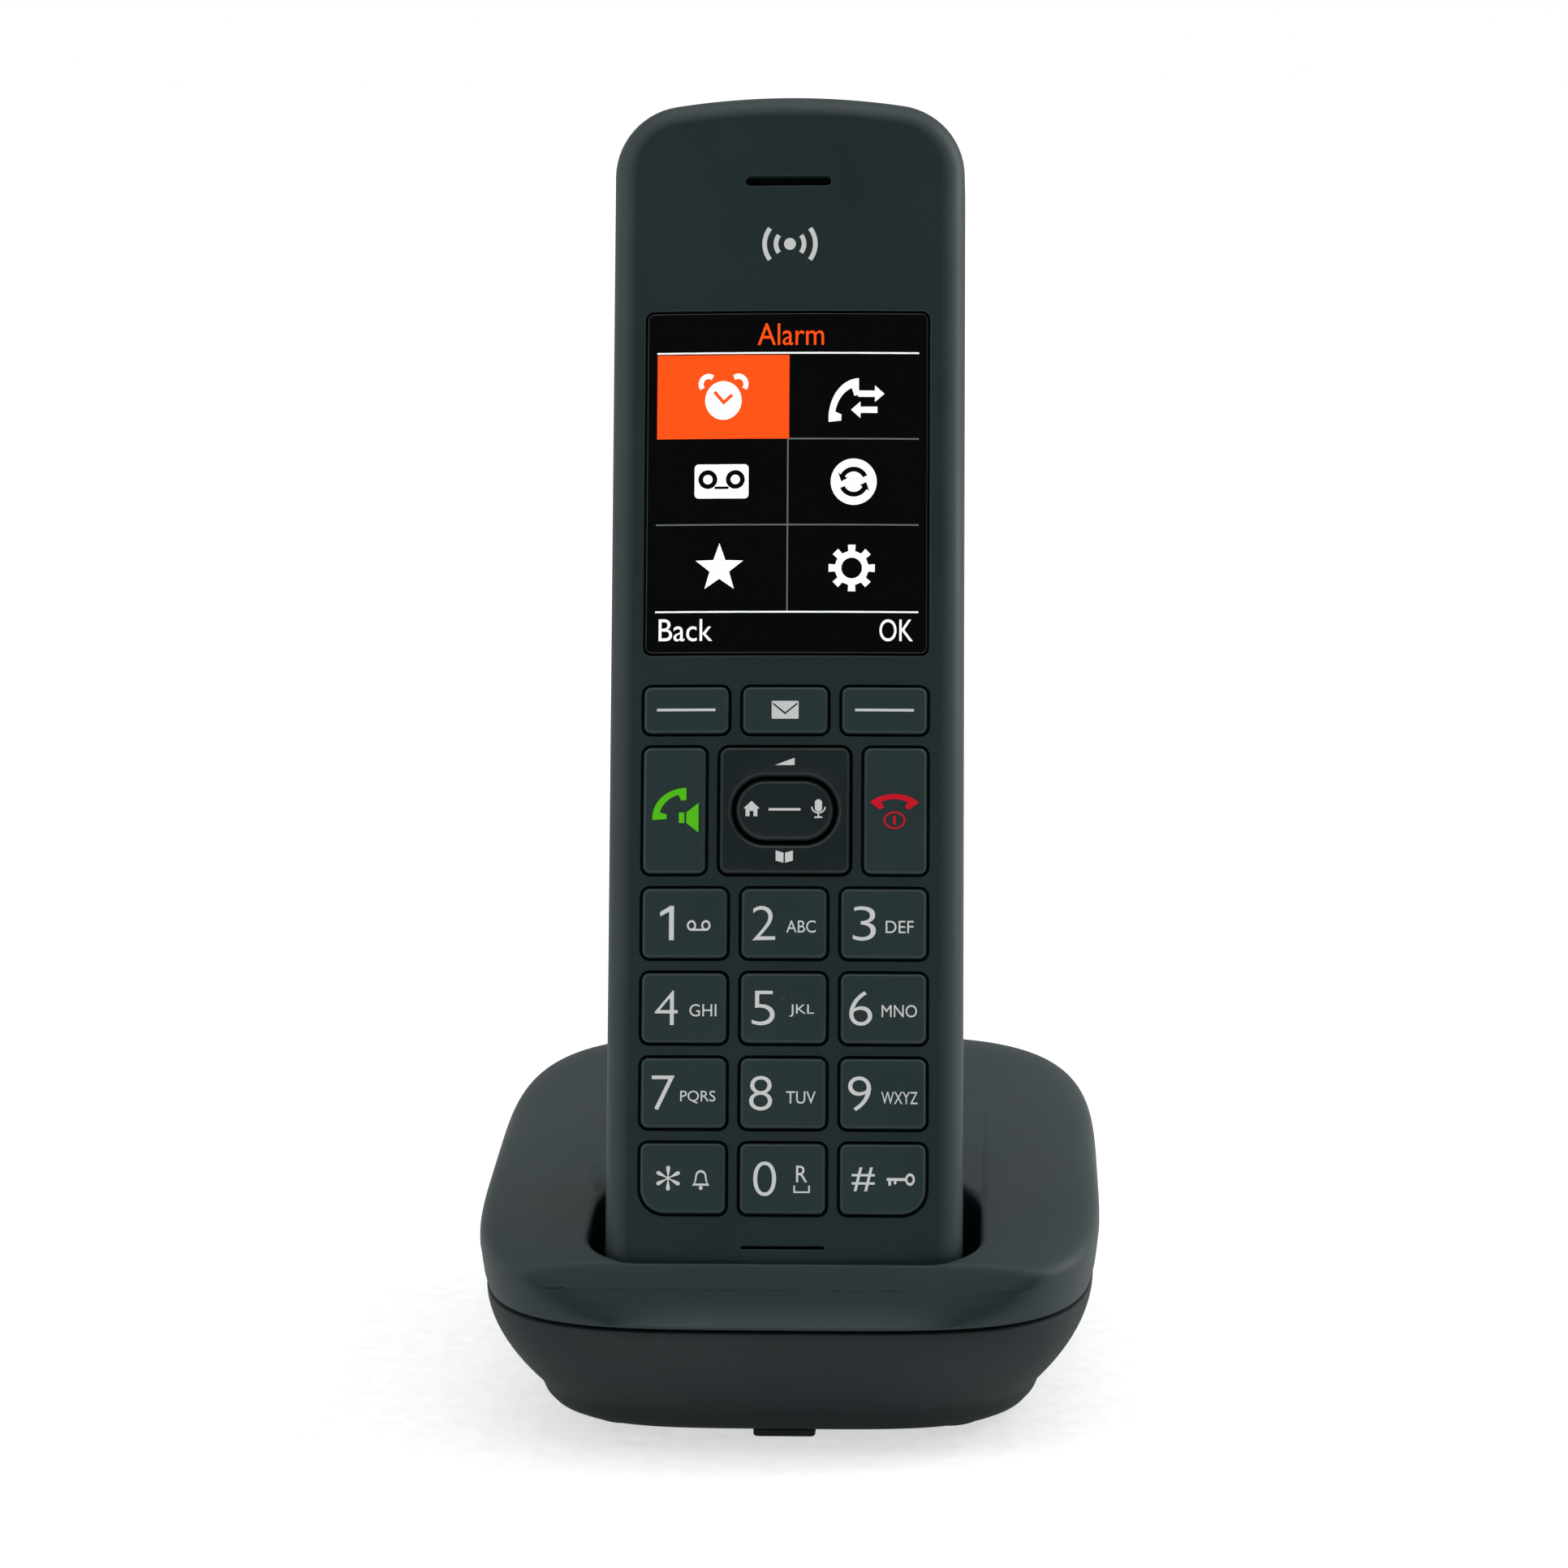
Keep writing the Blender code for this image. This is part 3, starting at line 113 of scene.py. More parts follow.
@dataclass(frozen=True)
class Finish:
    """One finish: its colour, its gloss and the fine relief of its surface.

    Attributes:
        name: the material's name.
        colour: linear red, green and blue.
        roughness: middle of the roughness, which drifts over the surface.
        grain: the kind of relief.
        pitch: grains in a metre.
        depth: height of the relief, in metres.
        drift: share by which colour and roughness wander.
        metallic: 1 for metal.
        coat: weight of the clear coat.
        glow: strength of the light that it gives off.
    """

    name: str
    colour: tuple[float, float, float]
    roughness: float
    grain: Grain = Grain.SATIN
    pitch: float = 5200.0
    depth: float = 0.004 * MM
    drift: float = 0.12
    metallic: float = 0.0
    coat: float = 0.0
    glow: float = 0.0

    def material(self) -> bpy.types.Material:
        """The finish as a material, built once.

        Returns:
            The material, with its nodes.
        """
        found = bpy.data.materials.get(self.name)
        if found:
            return found
        material = bpy.data.materials.new(self.name)
        material.use_nodes = True
        tree = material.node_tree
        shader = tree.nodes["Principled BSDF"]
        shader.inputs["Metallic"].default_value = self.metallic
        shader.inputs["Coat Weight"].default_value = self.coat
        shader.inputs["Coat Roughness"].default_value = 0.04
        place = tree.nodes.new("ShaderNodeTexCoord").outputs["Object"]
        relief = self.relief(tree, place)
        self.add_bump(tree, relief, shader)
        clouds = self.noise(tree, place, 38.0, 4.0)
        self.add_roughness(tree, clouds, shader)
        self.add_colour(tree, place, relief, shader)
        material.diffuse_color = (*self.colour, 1.0)
        return material

    def noise(self, tree: bpy.types.NodeTree, place: bpy.types.NodeSocket, scale: float,
              detail: float) -> bpy.types.NodeSocket:
        """A noise pattern.

        Args:
            tree: the material's tree.
            place: the coordinates that it reads.
            scale: its scale.
            detail: its octaves.

        Returns:
            The socket with its value.
        """
        node = tree.nodes.new("ShaderNodeTexNoise")
        node.inputs["Scale"].default_value = scale
        node.inputs["Detail"].default_value = detail
        tree.links.new(place, node.inputs["Vector"])
        return node.outputs[0]

    def relief(self, tree: bpy.types.NodeTree, place: bpy.types.NodeSocket) -> bpy.types.NodeSocket:
        """The height pattern of the surface.

        Args:
            tree: the material's tree.
            place: the coordinates that it reads.

        Returns:
            The socket with the height.
        """
        if self.grain is Grain.BRUSHED:
            stretch = tree.nodes.new("ShaderNodeMapping")
            stretch.inputs["Scale"].default_value = (1.0, 1.0, 0.06)
            tree.links.new(place, stretch.inputs["Vector"])
            return self.noise(tree, stretch.outputs[0], self.pitch, 3.0)
        if self.grain in (Grain.TRACKS, Grain.LIT):
            node = tree.nodes.new("ShaderNodeTexBrick")
            node.inputs["Scale"].default_value = self.pitch
            node.inputs["Mortar Size"].default_value = 0.03 if self.grain is Grain.LIT else 0.08
            node.inputs["Color1"].default_value = (1.0, 1.0, 1.0, 1.0)
            node.inputs["Color2"].default_value = (0.8, 0.8, 0.8, 1.0)
            tree.links.new(place, node.inputs["Vector"])
            return node.outputs["Color"]
        if self.grain is Grain.SPARK:
            cells = tree.nodes.new("ShaderNodeTexVoronoi")
            cells.inputs["Scale"].default_value = self.pitch
            tree.links.new(place, cells.inputs["Vector"])
            mixed = tree.nodes.new("ShaderNodeMath")
            mixed.operation = "MULTIPLY_ADD"
            tree.links.new(cells.outputs["Distance"], mixed.inputs[0])
            mixed.inputs[1].default_value = 0.6
            tree.links.new(self.noise(tree, place, self.pitch * 0.45, 4.0), mixed.inputs[2])
            return mixed.outputs[0]
        return self.noise(tree, place, self.pitch, 3.0)

    def add_bump(self, tree: bpy.types.NodeTree, height: bpy.types.NodeSocket,
                 shader: bpy.types.Node) -> None:
        """Press the relief into the shader's normal.

        Args:
            tree: the material's tree.
            height: the height pattern.
            shader: the Principled shader.
        """
        bump = tree.nodes.new("ShaderNodeBump")
        bump.inputs["Distance"].default_value = self.depth
        tree.links.new(height, bump.inputs["Height"])
        tree.links.new(bump.outputs["Normal"], shader.inputs["Normal"])

    def add_roughness(self, tree: bpy.types.NodeTree, clouds: bpy.types.NodeSocket,
                      shader: bpy.types.Node) -> None:
        """Let the roughness wander as handling leaves it.

        Args:
            tree: the material's tree.
            clouds: a broad pattern.
            shader: the Principled shader.
        """
        spread = tree.nodes.new("ShaderNodeMapRange")
        spread.inputs["From Min"].default_value = 0.3
        spread.inputs["From Max"].default_value = 0.7
        spread.inputs["To Min"].default_value = self.roughness * (1.0 - self.drift)
        spread.inputs["To Max"].default_value = min(1.0, self.roughness * (1.0 + self.drift))
        tree.links.new(clouds, spread.inputs["Value"])
        tree.links.new(spread.outputs["Result"], shader.inputs["Roughness"])

    def add_colour(self, tree: bpy.types.NodeTree, place: bpy.types.NodeSocket,
                   relief: bpy.types.NodeSocket, shader: bpy.types.Node) -> None:
        """Mix the colour from a broad drift and the fine relief.

        Args:
            tree: the material's tree.
            place: the coordinates.
            relief: the fine pattern.
            shader: the Principled shader.
        """
        low = tuple(c * (1.0 - self.drift) for c in self.colour)
        high = tuple(min(1.0, c * (1.0 + self.drift)) for c in self.colour)
        if self.grain is Grain.TRACKS:
            low = (0.30, 0.22, 0.06)
        broad = tree.nodes.new("ShaderNodeMix")
        broad.data_type = "RGBA"
        broad.inputs["A"].default_value = (*low, 1.0)
        broad.inputs["B"].default_value = (*high, 1.0)
        source = relief if self.grain in (Grain.TRACKS, Grain.LIT) else self.noise(tree, place, 90.0, 3.0)
        tree.links.new(source, broad.inputs["Factor"])
        fine = tree.nodes.new("ShaderNodeMix")
        fine.data_type = "RGBA"
        fine.blend_type = "MULTIPLY"
        fine.inputs["Factor"].default_value = 0.16
        tree.links.new(broad.outputs["Result"], fine.inputs["A"])
        tree.links.new(relief, fine.inputs["B"])
        tree.links.new(fine.outputs["Result"], shader.inputs["Base Color"])
        # glow makes a finish give off light: real light for the display's lit dots, a painted glow for the
        # printed inks
        if self.glow:
            tree.links.new(fine.outputs["Result"], shader.inputs["Emission Color"])
            shader.inputs["Emission Strength"].default_value = self.glow


BODY = Finish("satin_body", (0.025, 0.049, 0.052), 0.48, pitch=5200.0, depth=0.005 * MM)
LOWER = Finish("grained_lower", (0.015, 0.030, 0.032), 0.62, Grain.SPARK, 2600.0, 0.030 * MM)
KEYS = Finish("satin_key", (0.041, 0.074, 0.077), 0.42, pitch=6500.0, depth=0.003 * MM)
ROCKER = Finish("dark_rocker", (0.019, 0.033, 0.035), 0.40, pitch=6500.0, depth=0.003 * MM)
WINDOW = Finish("black_window", (0.0022, 0.0030, 0.0035), 0.10, Grain.SMOOTH, 900.0, 0.0004 * MM,
                coat=0.6)
# the print finishes glow faintly (glow 0.25): a painted glow, which makes the print brighter than the lamps
# light it
INK = Finish("white_print_painted_glow", (0.86, 0.87, 0.87), 0.55, pitch=9000.0, depth=0.002 * MM, drift=0.03,
             glow=0.25)
INK_GREEN = Finish("green_print_painted_glow", (0.12, 0.72, 0.005), 0.5, pitch=9000.0, depth=0.002 * MM,
                   drift=0.05, glow=0.25)
INK_RED = Finish("red_print_painted_glow", (0.85, 0.002, 0.022), 0.5, pitch=9000.0, depth=0.002 * MM,
                 drift=0.05, glow=0.25)
LIT_WHITE = Finish("lit_white", (0.90, 0.93, 0.95), 0.5, Grain.LIT, 1400.0, 0.0, 0.04, glow=0.8)
LIT_GREY = Finish("lit_grey", (0.13, 0.14, 0.14), 0.5, Grain.LIT, 1400.0, 0.0, 0.04, glow=0.6)
LIT_ORANGE = Finish("lit_orange", (1.0, 0.076, 0.001), 0.5, Grain.LIT, 1400.0, 0.0, 0.04, glow=0.75)
STEEL = Finish("brushed_steel", (0.52, 0.53, 0.55), 0.34, Grain.BRUSHED, 2600.0, 0.004 * MM,
               metallic=1.0)
GOLD = Finish("gilded_contact", (0.80, 0.60, 0.28), 0.26, Grain.BRUSHED, 3000.0, 0.003 * MM,
              metallic=1.0)
RUBBER = Finish("foot_rubber", (0.012, 0.012, 0.013), 0.86, Grain.SPARK, 1800.0, 0.02 * MM)
SOCKET = Finish("socket_plastic", (0.016, 0.016, 0.017), 0.5, pitch=4000.0, depth=0.004 * MM)
WRAP = Finish("cell_wrap", (0.10, 0.13, 0.15), 0.30, Grain.SMOOTH, 700.0, 0.002 * MM, coat=0.4)
WRAP_BAND = Finish("cell_band", (0.02, 0.16, 0.12), 0.30, Grain.SMOOTH, 700.0, 0.002 * MM, coat=0.4)
BOARD = Finish("circuit_board", (0.012, 0.10, 0.045), 0.42, Grain.TRACKS, 260.0, 0.01 * MM)
FOAM = Finish("black_foam", (0.012, 0.012, 0.012), 0.95, Grain.SPARK, 1500.0, 0.05 * MM)
SILICONE = Finish("grey_silicone", (0.06, 0.065, 0.07), 0.68, pitch=2500.0, depth=0.006 * MM)
GLASS = Finish("display_glass", (0.012, 0.012, 0.014), 0.14, Grain.SMOOTH, 900.0, 0.0005 * MM,
               coat=0.3)


# ---- outlines ----------------------------------------------------------------------
def arc(x: float, y: float, radius: float, start: float, stop: float, steps: int = 8) -> Outline:
    """Points along an arc, both ends included.

    Args:
        x: the centre's X.
        y: the centre's Y.
        radius: its radius.
        start: first angle, in degrees.
        stop: last angle, in degrees.
        steps: its chords.

    Returns:
        The points.
    """
    angles = [math.radians(start + (stop - start) * step / steps) for step in range(steps + 1)]
    return [(x + radius * math.cos(a), y + radius * math.sin(a)) for a in angles]


def round_box(x: float, y: float, width: float, height: float,
              corners: float | Sequence[float], steps: int = 6) -> Outline:
    """A rectangle with round corners.

    Args:
        x: its middle's X.
        y: its middle's Y.
        width: its width.
        height: its height.
        corners: one radius, or those of bottom left, bottom right, top right and top left.
        steps: chords in each corner.

    Returns:
        The outline, anticlockwise.
    """
    if isinstance(corners, (int, float)):
        corners = (corners,) * 4
    low_left, low_right, high_right, high_left = [max(corner, 0.02 * MM) for corner in corners]
    left, right, low, high = x - width / 2, x + width / 2, y - height / 2, y + height / 2
    points = arc(left + low_left, low + low_left, low_left, 180, 270, steps)
    points += arc(right - low_right, low + low_right, low_right, 270, 360, steps)
    points += arc(right - high_right, high - high_right, high_right, 0, 90, steps)
    return points + arc(left + high_left, high - high_left, high_left, 90, 180, steps)


def box_shape(x: float, y: float, width: float, height: float, corners: float | Sequence[float],
              steps: int = 6) -> Shape:
    """A round box as a function of how far it is moved in.

    Args:
        x: its middle's X.
        y: its middle's Y.
        width: its width.
        height: its height.
        corners: its corner radii.
        steps: chords in each corner.

    Returns:
        The function from an inset to the outline.
    """
    radii = (corners,) * 4 if isinstance(corners, (int, float)) else tuple(corners)
    return lambda inset: round_box(x, y, width - 2 * inset, height - 2 * inset,
                                   [radius - inset for radius in radii], steps)


def disc_shape(x: float, y: float, radius: float, steps: int = 32) -> Shape:
    """A disc as a function of how far it is moved in."""
    return lambda inset: disc(x, y, radius - inset, steps)


def disc(x: float, y: float, radius: float, steps: int = 32) -> Outline:
    """A circle's points."""
    return arc(x, y, radius, 0, 360, steps)[:-1]


def ribbon(points: Outline, width: float) -> Outline:
    """A band of one width along a line.

    Args:
        points: the line's points.
        width: the band's width.

    Returns:
        The band's outline.
    """
    sides: tuple[Outline, Outline] = ([], [])
    for index, (x, y) in enumerate(points):
        before = Vector(points[max(index - 1, 0)])
        after = Vector(points[min(index + 1, len(points) - 1)])
        here = Vector((x, y))
        ahead = (after - here).normalized() if after != here else (here - before).normalized()
        behind = (here - before).normalized() if before != here else ahead
        along = (ahead + behind).normalized()
        reach = width / 2 / max(along.dot(ahead), 0.35)
        for side, sign in zip(sides, (-1, 1)):
            side.append((x - sign * along.y * reach, y + sign * along.x * reach))
    return sides[0] + sides[1][::-1]


def resample(outline: Outline, spacing: float) -> Outline:
    """Put more points on an outline's long chords.

    Args:
        outline: the closed outline.
        spacing: the longest chord that stays.

    Returns:
        The outline with its new points.
    """
    points: Outline = []
    for here, following in zip(outline, outline[1:] + outline[:1]):
        count = max(1, math.ceil(math.dist(here, following) / spacing))
        points += [(here[0] + (following[0] - here[0]) * step / count,
                    here[1] + (following[1] - here[1]) * step / count) for step in range(count)]
    return points


# ---- meshes ------------------------------------------------------------------------
def as_mesh(solid: bmesh.types.BMesh, name: str = "mesh") -> bpy.types.Mesh:
    """Turn a bmesh into a mesh and free it.

    Args:
        solid: the bmesh.
        name: name of the new mesh.

    Returns:
        The mesh.
    """
    mesh = bpy.data.meshes.new(name)
    solid.to_mesh(mesh)
    solid.free()
    return mesh


def loft(rings: Sequence[Sequence[Sequence[float]]]) -> bpy.types.Mesh:
    """A closed solid through rings of equal counts.

    Args:
        rings: the rings' points, from the lowest to the highest.

    Returns:
        The solid.
    """
    solid = bmesh.new()
    layers = [[solid.verts.new(point) for point in ring] for ring in rings]
    count = len(rings[0])
    for lower, upper in zip(layers, layers[1:]):
        for index in range(count):
            following = (index + 1) % count
            solid.faces.new((lower[index], lower[following], upper[following], upper[index]))
    solid.faces.new(tuple(reversed(layers[0])))
    solid.faces.new(tuple(layers[-1]))
    bmesh.ops.remove_doubles(solid, verts=solid.verts, dist=0.002 * MM)
    bmesh.ops.recalc_face_normals(solid, faces=solid.faces)
    return as_mesh(solid)


def moulded(shape: Shape, profile: Profile) -> bpy.types.Mesh:
    """A closed solid that follows a profile of insets and heights.

    Args:
        shape: the outline for an inset.
        profile: pairs of inset and height, from the lowest.

    Returns:
        The solid.
    """
    return loft([[(x, y, height) for x, y in shape(inset)] for inset, height in profile])


def rounded(level: float, radius: float, steps: int = 4, below: bool = False,
            stop: float = 90.0) -> Profile:
    """The part of a profile that rounds an upper or a lower edge.

    Args:
        level: height of the flat end.
        radius: radius of the edge.
        steps: its chords.
        below: whether it is the lower edge.
        stop: degrees of the quarter that are made.

    Returns:
        The pairs, from the lowest.
    """
    pairs = []
    for step in range(steps + 1):
        angle = math.radians(stop * step / steps)
        drop = radius * (1 - math.sin(angle))
        pairs.append((radius * (1 - math.cos(angle)), level + drop if below else level - drop))
    return pairs[::-1] if below else pairs


def joined(meshes: Sequence[bpy.types.Mesh]) -> bpy.types.Mesh:
    """Several meshes as one.

    Args:
        meshes: the meshes, which are used up.

    Returns:
        The one mesh.
    """
    solid = bmesh.new()
    for mesh in meshes:
        solid.from_mesh(mesh)
        bpy.data.meshes.remove(mesh)
    return as_mesh(solid)


def helper(mesh: bpy.types.Mesh, name: str = "helper") -> bpy.types.Object:
    """A mesh as an object of the scene.

    Args:
        mesh: the mesh.
        name: name of the object.

    Returns:
        The object.
    """
    obj = bpy.data.objects.new(name, mesh)
    bpy.context.scene.collection.objects.link(obj)
    return obj


def evaluated(obj: bpy.types.Object) -> bpy.types.Mesh:
    """An object's mesh after its modifiers; the object is removed.

    Args:
        obj: the object.

    Returns:
        The plain mesh.
    """
    graph = bpy.context.evaluated_depsgraph_get()
    mesh = bpy.data.meshes.new_from_object(obj.evaluated_get(graph))
    bpy.data.objects.remove(obj, do_unlink=True)
    return mesh


def carved(mesh: bpy.types.Mesh, *cutters: bpy.types.Mesh, add: bool = False) -> bpy.types.Mesh:
    """Take cutters away from a solid, or join them to it.

    Args:
        mesh: the solid.
        cutters: the cutters, which are used up.
        add: whether they are joined instead.

    Returns:
        The new solid.
    """
    obj = helper(mesh)
    tools = [helper(cutter, "cutter") for cutter in cutters]
    for tool in tools:
        modifier = obj.modifiers.new("carve", "BOOLEAN")
        modifier.operation = "UNION" if add else "DIFFERENCE"
        modifier.solver = "EXACT"
        modifier.object = tool
    result = evaluated(obj)
    for tool in tools:
        bpy.data.objects.remove(tool, do_unlink=True)
    return result


def moved(mesh: bpy.types.Mesh, x: float = 0.0, y: float = 0.0, z: float = 0.0,
          turn: tuple[float, str] | None = None) -> bpy.types.Mesh:
    """Turn a mesh about an axis, then move it.

    Args:
        mesh: the mesh.
        x: the move along X.
        y: the move along Y.
        z: the move along Z.
        turn: an angle and its axis.

    Returns:
        The same mesh.
    """
    if turn:
        mesh.transform(Matrix.Rotation(turn[0], 4, turn[1]))
    mesh.transform(Matrix.Translation((x, y, z)))
    return mesh


def cut_across(solid: bmesh.types.BMesh, places: Sequence[float]) -> None:
    """Cut a solid's faces along planes that stand across X.

    Args:
        solid: the solid.
        places: each plane's X.
    """
    for place in places:
        bmesh.ops.bisect_plane(solid, geom=solid.verts[:] + solid.edges[:] + solid.faces[:],
                               dist=CUT_REACH, plane_co=(place, 0.0, 0.0), plane_no=(1.0, 0.0, 0.0))


def sliced(mesh: bpy.types.Mesh, low: float, high: float, step: float) -> None:
    """Cut a mesh's faces at a pitch along X, so that it can take a crown.

    Args:
        mesh: the mesh.
        low: the first plane's X.
        high: the last plane's X.
        step: the planes' pitch.
    """
    solid = bmesh.new()
    solid.from_mesh(mesh)
    cut_across(solid, [low + index * step for index in range(round((high - low) / step) + 1)])
    solid.to_mesh(mesh)
    solid.free()


@dataclass(frozen=True)
class Crown:
    """The gentle arch of the handset's face across its width.

    Attributes:
        drop: how far the face falls from its middle to its sides.
        half: half of the handset's width.
        start: height where the arch begins to show.
        full: height where it shows in full.
    """

    drop: float = 1.0 * MM
    half: float = 23.5 * MM
    start: float = 3.0 * MM
    full: float = 8.0 * MM

    def fall(self, x: float, z: float) -> float:
        """How far the face lies under its middle at a point."""
        share = min(max((z - self.start) / (self.full - self.start), 0.0), 1.0)
        return self.drop * (x / self.half) ** 2 * share

    def normals(self, mesh: bpy.types.Mesh, lie: Lie) -> list[tuple[float, float, float]]:
        """Exact normals for the flat part of a crowned top.

        Args:
            mesh: the crowned mesh.
            lie: the working frame that it is in.

        Returns:
            One normal for each corner, or zero where the usual one is right.
        """
        turn = lie.matrix().to_3x3()
        rows = [(0.0, 0.0, 0.0)] * len(mesh.loops)
        for face in mesh.polygons:
            if face.normal.z < 0.985 or face.center.z < self.full:
                continue
            for index in face.loop_indices:
                x = mesh.vertices[mesh.loops[index].vertex_index].co.x
                slope = 2.0 * self.drop * x / self.half ** 2
                rows[index] = tuple((turn @ Vector((slope, 0.0, 1.0))).normalized())
        return rows

    def bend(self, mesh: bpy.types.Mesh) -> bpy.types.Mesh:
        """Bend a flat mesh to the arch.

        Args:
            mesh: the mesh.

        Returns:
            The same mesh.
        """
        for vertex in mesh.vertices:
            vertex.co.z -= self.fall(vertex.co.x, vertex.co.z)
        return mesh


CROWN = Crown()


# ---- pieces ------------------------------------------------------------------------
def piece(name: str, mesh: bpy.types.Mesh, finish: Finish, body: str, lie: Lie = ROW,
          replaces: Sequence[str] = (), angle: float = 32.0,
          crowned: bool = False) -> None:
    """Finish a piece: its place, shading, material and body.

    Args:
        name: its name.
        mesh: its mesh, in the working frame.
        finish: its finish.
        body: the body that it rides on.
        lie: the working frame.
        replaces: the CAD nodes that it stands for.
        angle: edges sharper than this stay sharp, in degrees.
        crowned: whether its top follows the crown of the face.
    """
    normals = CROWN.normals(mesh, lie) if crowned else []
    mesh.transform(lie.matrix())
    mesh.materials.clear()
    mesh.materials.append(finish.material())
    mesh.polygons.foreach_set("material_index", [0] * len(mesh.polygons))
    mesh.shade_smooth()
    mesh.set_sharp_from_angle(angle=math.radians(angle))
    if normals:
        mesh.normals_split_custom_set(normals)
    mesh.update()
    mesh.name = name
    obj = helper(mesh, name)
    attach(obj, body)
    if replaces:
        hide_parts(*replaces)
    triangles = sum(len(face.vertices) - 2 for face in mesh.polygons)
    LOG.info("%s on %s: %d triangles", name, body, triangles)


def dress(nodes: dict[str, bpy.types.Object], finishes: dict[str, Finish]) -> None:
    """Give carried-over CAD nodes their finishes.

    Args:
        nodes: the frame's nodes.
        finishes: the finish of each by name.
    """
    for name, finish in finishes.items():
        obj = nodes[name]
        if not obj.material_slots:
            obj.data.materials.append(finish.material())
        for place in obj.material_slots:
            place.material = finish.material()
        LOG.info("%s keeps its shape and takes %s", name, finish.name)


# ---- geometry nodes ------------------------------------------------------------------
class NodeTree:
    """A geometry node tree built in code, with named inputs that a modifier sets."""

    def __init__(self, name: str) -> None:
        """Start a tree.

        Args:
            name: its name.
        """
        self.tree = bpy.data.node_groups.new(name, "GeometryNodeTree")
        self.identifiers: dict[str, str] = {}
        self.entry = self.tree.nodes.new("NodeGroupInput")

    def inputs(self, **kinds: str) -> None:
        """Add named inputs.

        Args:
            kinds: the kind of socket of each; underscores in a name stand for spaces.
        """
        for key, kind in kinds.items():
            name = key.replace("_", " ")
            socket = self.tree.interface.new_socket(name, in_out="INPUT", socket_type=f"NodeSocket{kind}")
            self.identifiers[name] = socket.identifier

    def node(self, kind: str, links: dict[str, object], **settings: object) -> bpy.types.Node:
        """Add a node.

        Args:
            kind: its type.
            links: for each input, a socket, the name of a tree input, or a value.
            settings: its properties.

        Returns:
            The node.
        """
        node = self.tree.nodes.new(kind)
        for key, value in settings.items():
            setattr(node, key, value)
        for key, value in links.items():
            target = node.inputs[key]
            if isinstance(value, bpy.types.NodeSocket):
                self.tree.links.new(value, target)
            elif isinstance(value, str) and value in self.identifiers:
                self.tree.links.new(self.entry.outputs[value], target)
            else:
                target.default_value = value
        return node

    def close(self, geometry: bpy.types.NodeSocket) -> None:
        """End the tree in real geometry with the finish on it.

        Args:
            geometry: what the tree made.
        """
        self.tree.interface.new_socket("Geometry", in_out="OUTPUT", socket_type="NodeSocketGeometry")
        real = self.node("GeometryNodeRealizeInstances", {"Geometry": geometry})
        painted = self.node("GeometryNodeSetMaterial", {"Geometry": real.outputs[0], "Material": "Finish"})
        leave = self.tree.nodes.new("NodeGroupOutput")
        self.tree.links.new(painted.outputs[0], leave.inputs[0])

    def run(self, mesh: bpy.types.Mesh, **values: object) -> bpy.types.Mesh:
        """Evaluate the tree on a mesh.

        Args:
            mesh: the mesh that enters it.
            values: each input's value; underscores stand for spaces.

        Returns:
            A plain mesh.
        """
        carrier = helper(mesh, "carrier")
        modifier = carrier.modifiers.new("nodes", "NODES")
        modifier.node_group = self.tree
        for key, value in values.items():
            modifier[self.identifiers[key.replace("_", " ")]] = value
        return evaluated(carrier)


class PatternSetter(NodeTree):
    """Sets one pattern piece on every point of a mesh."""

    def __init__(self) -> None:
        """Build the tree."""
        super().__init__("set_pattern_on_points")
        self.inputs(Points="Geometry", Pattern="Object", Size="Float", Finish="Material")
        pattern = self.node("GeometryNodeObjectInfo", {"Object": "Pattern"})
        spread = self.node("GeometryNodeInstanceOnPoints", {
            "Points": "Points", "Instance": pattern.outputs["Geometry"], "Scale": "Size"})
        self.close(spread.outputs[0])

    def spread(self, pattern: bpy.types.Mesh, places: Sequence[Sequence[float]],
               finish: Finish) -> bpy.types.Mesh:
        """Copies of a pattern at some places.

        Args:
            pattern: the pattern's mesh, which is used up.
            places: the places.
            finish: its finish.

        Returns:
            One mesh with every copy.
        """
        points = bpy.data.meshes.new("places")
        points.from_pydata([tuple(place) for place in places], [], [])
        original = helper(pattern, "pattern")
        mesh = self.run(points, Pattern=original, Size=1.0, Finish=finish.material())
        bpy.data.objects.remove(original, do_unlink=True)
        return mesh


class PatternRow(NodeTree):
    """Repeats a pattern piece along a straight row."""

    def __init__(self) -> None:
        """Build the tree."""
        super().__init__("repeat_in_a_row")
        self.inputs(Pattern="Object", Count="Int", Start="Vector", Step="Vector", Finish="Material")
        line = self.node("GeometryNodeMeshLine", {"Count": "Count", "Start Location": "Start",
                                                  "Offset": "Step"})
        pattern = self.node("GeometryNodeObjectInfo", {"Object": "Pattern"})
        spread = self.node("GeometryNodeInstanceOnPoints", {
            "Points": line.outputs[0], "Instance": pattern.outputs["Geometry"]})
        self.close(spread.outputs[0])

    def repeat(self, pattern: bpy.types.Mesh, count: int, start: Sequence[float],
               step: Sequence[float], finish: Finish) -> bpy.types.Mesh:
        """Copies of a pattern in a row.

        Args:
            pattern: the pattern's mesh, which is used up.
            count: how many.
            start: the first one's place.
            step: from one to the next.
            finish: its finish.

        Returns:
            One mesh with every copy.
        """
        original = helper(pattern, "pattern")
        mesh = self.run(bpy.data.meshes.new("row"), Pattern=original, Count=count, Start=start,
                        Step=step, Finish=finish.material())
        bpy.data.objects.remove(original, do_unlink=True)
        return mesh


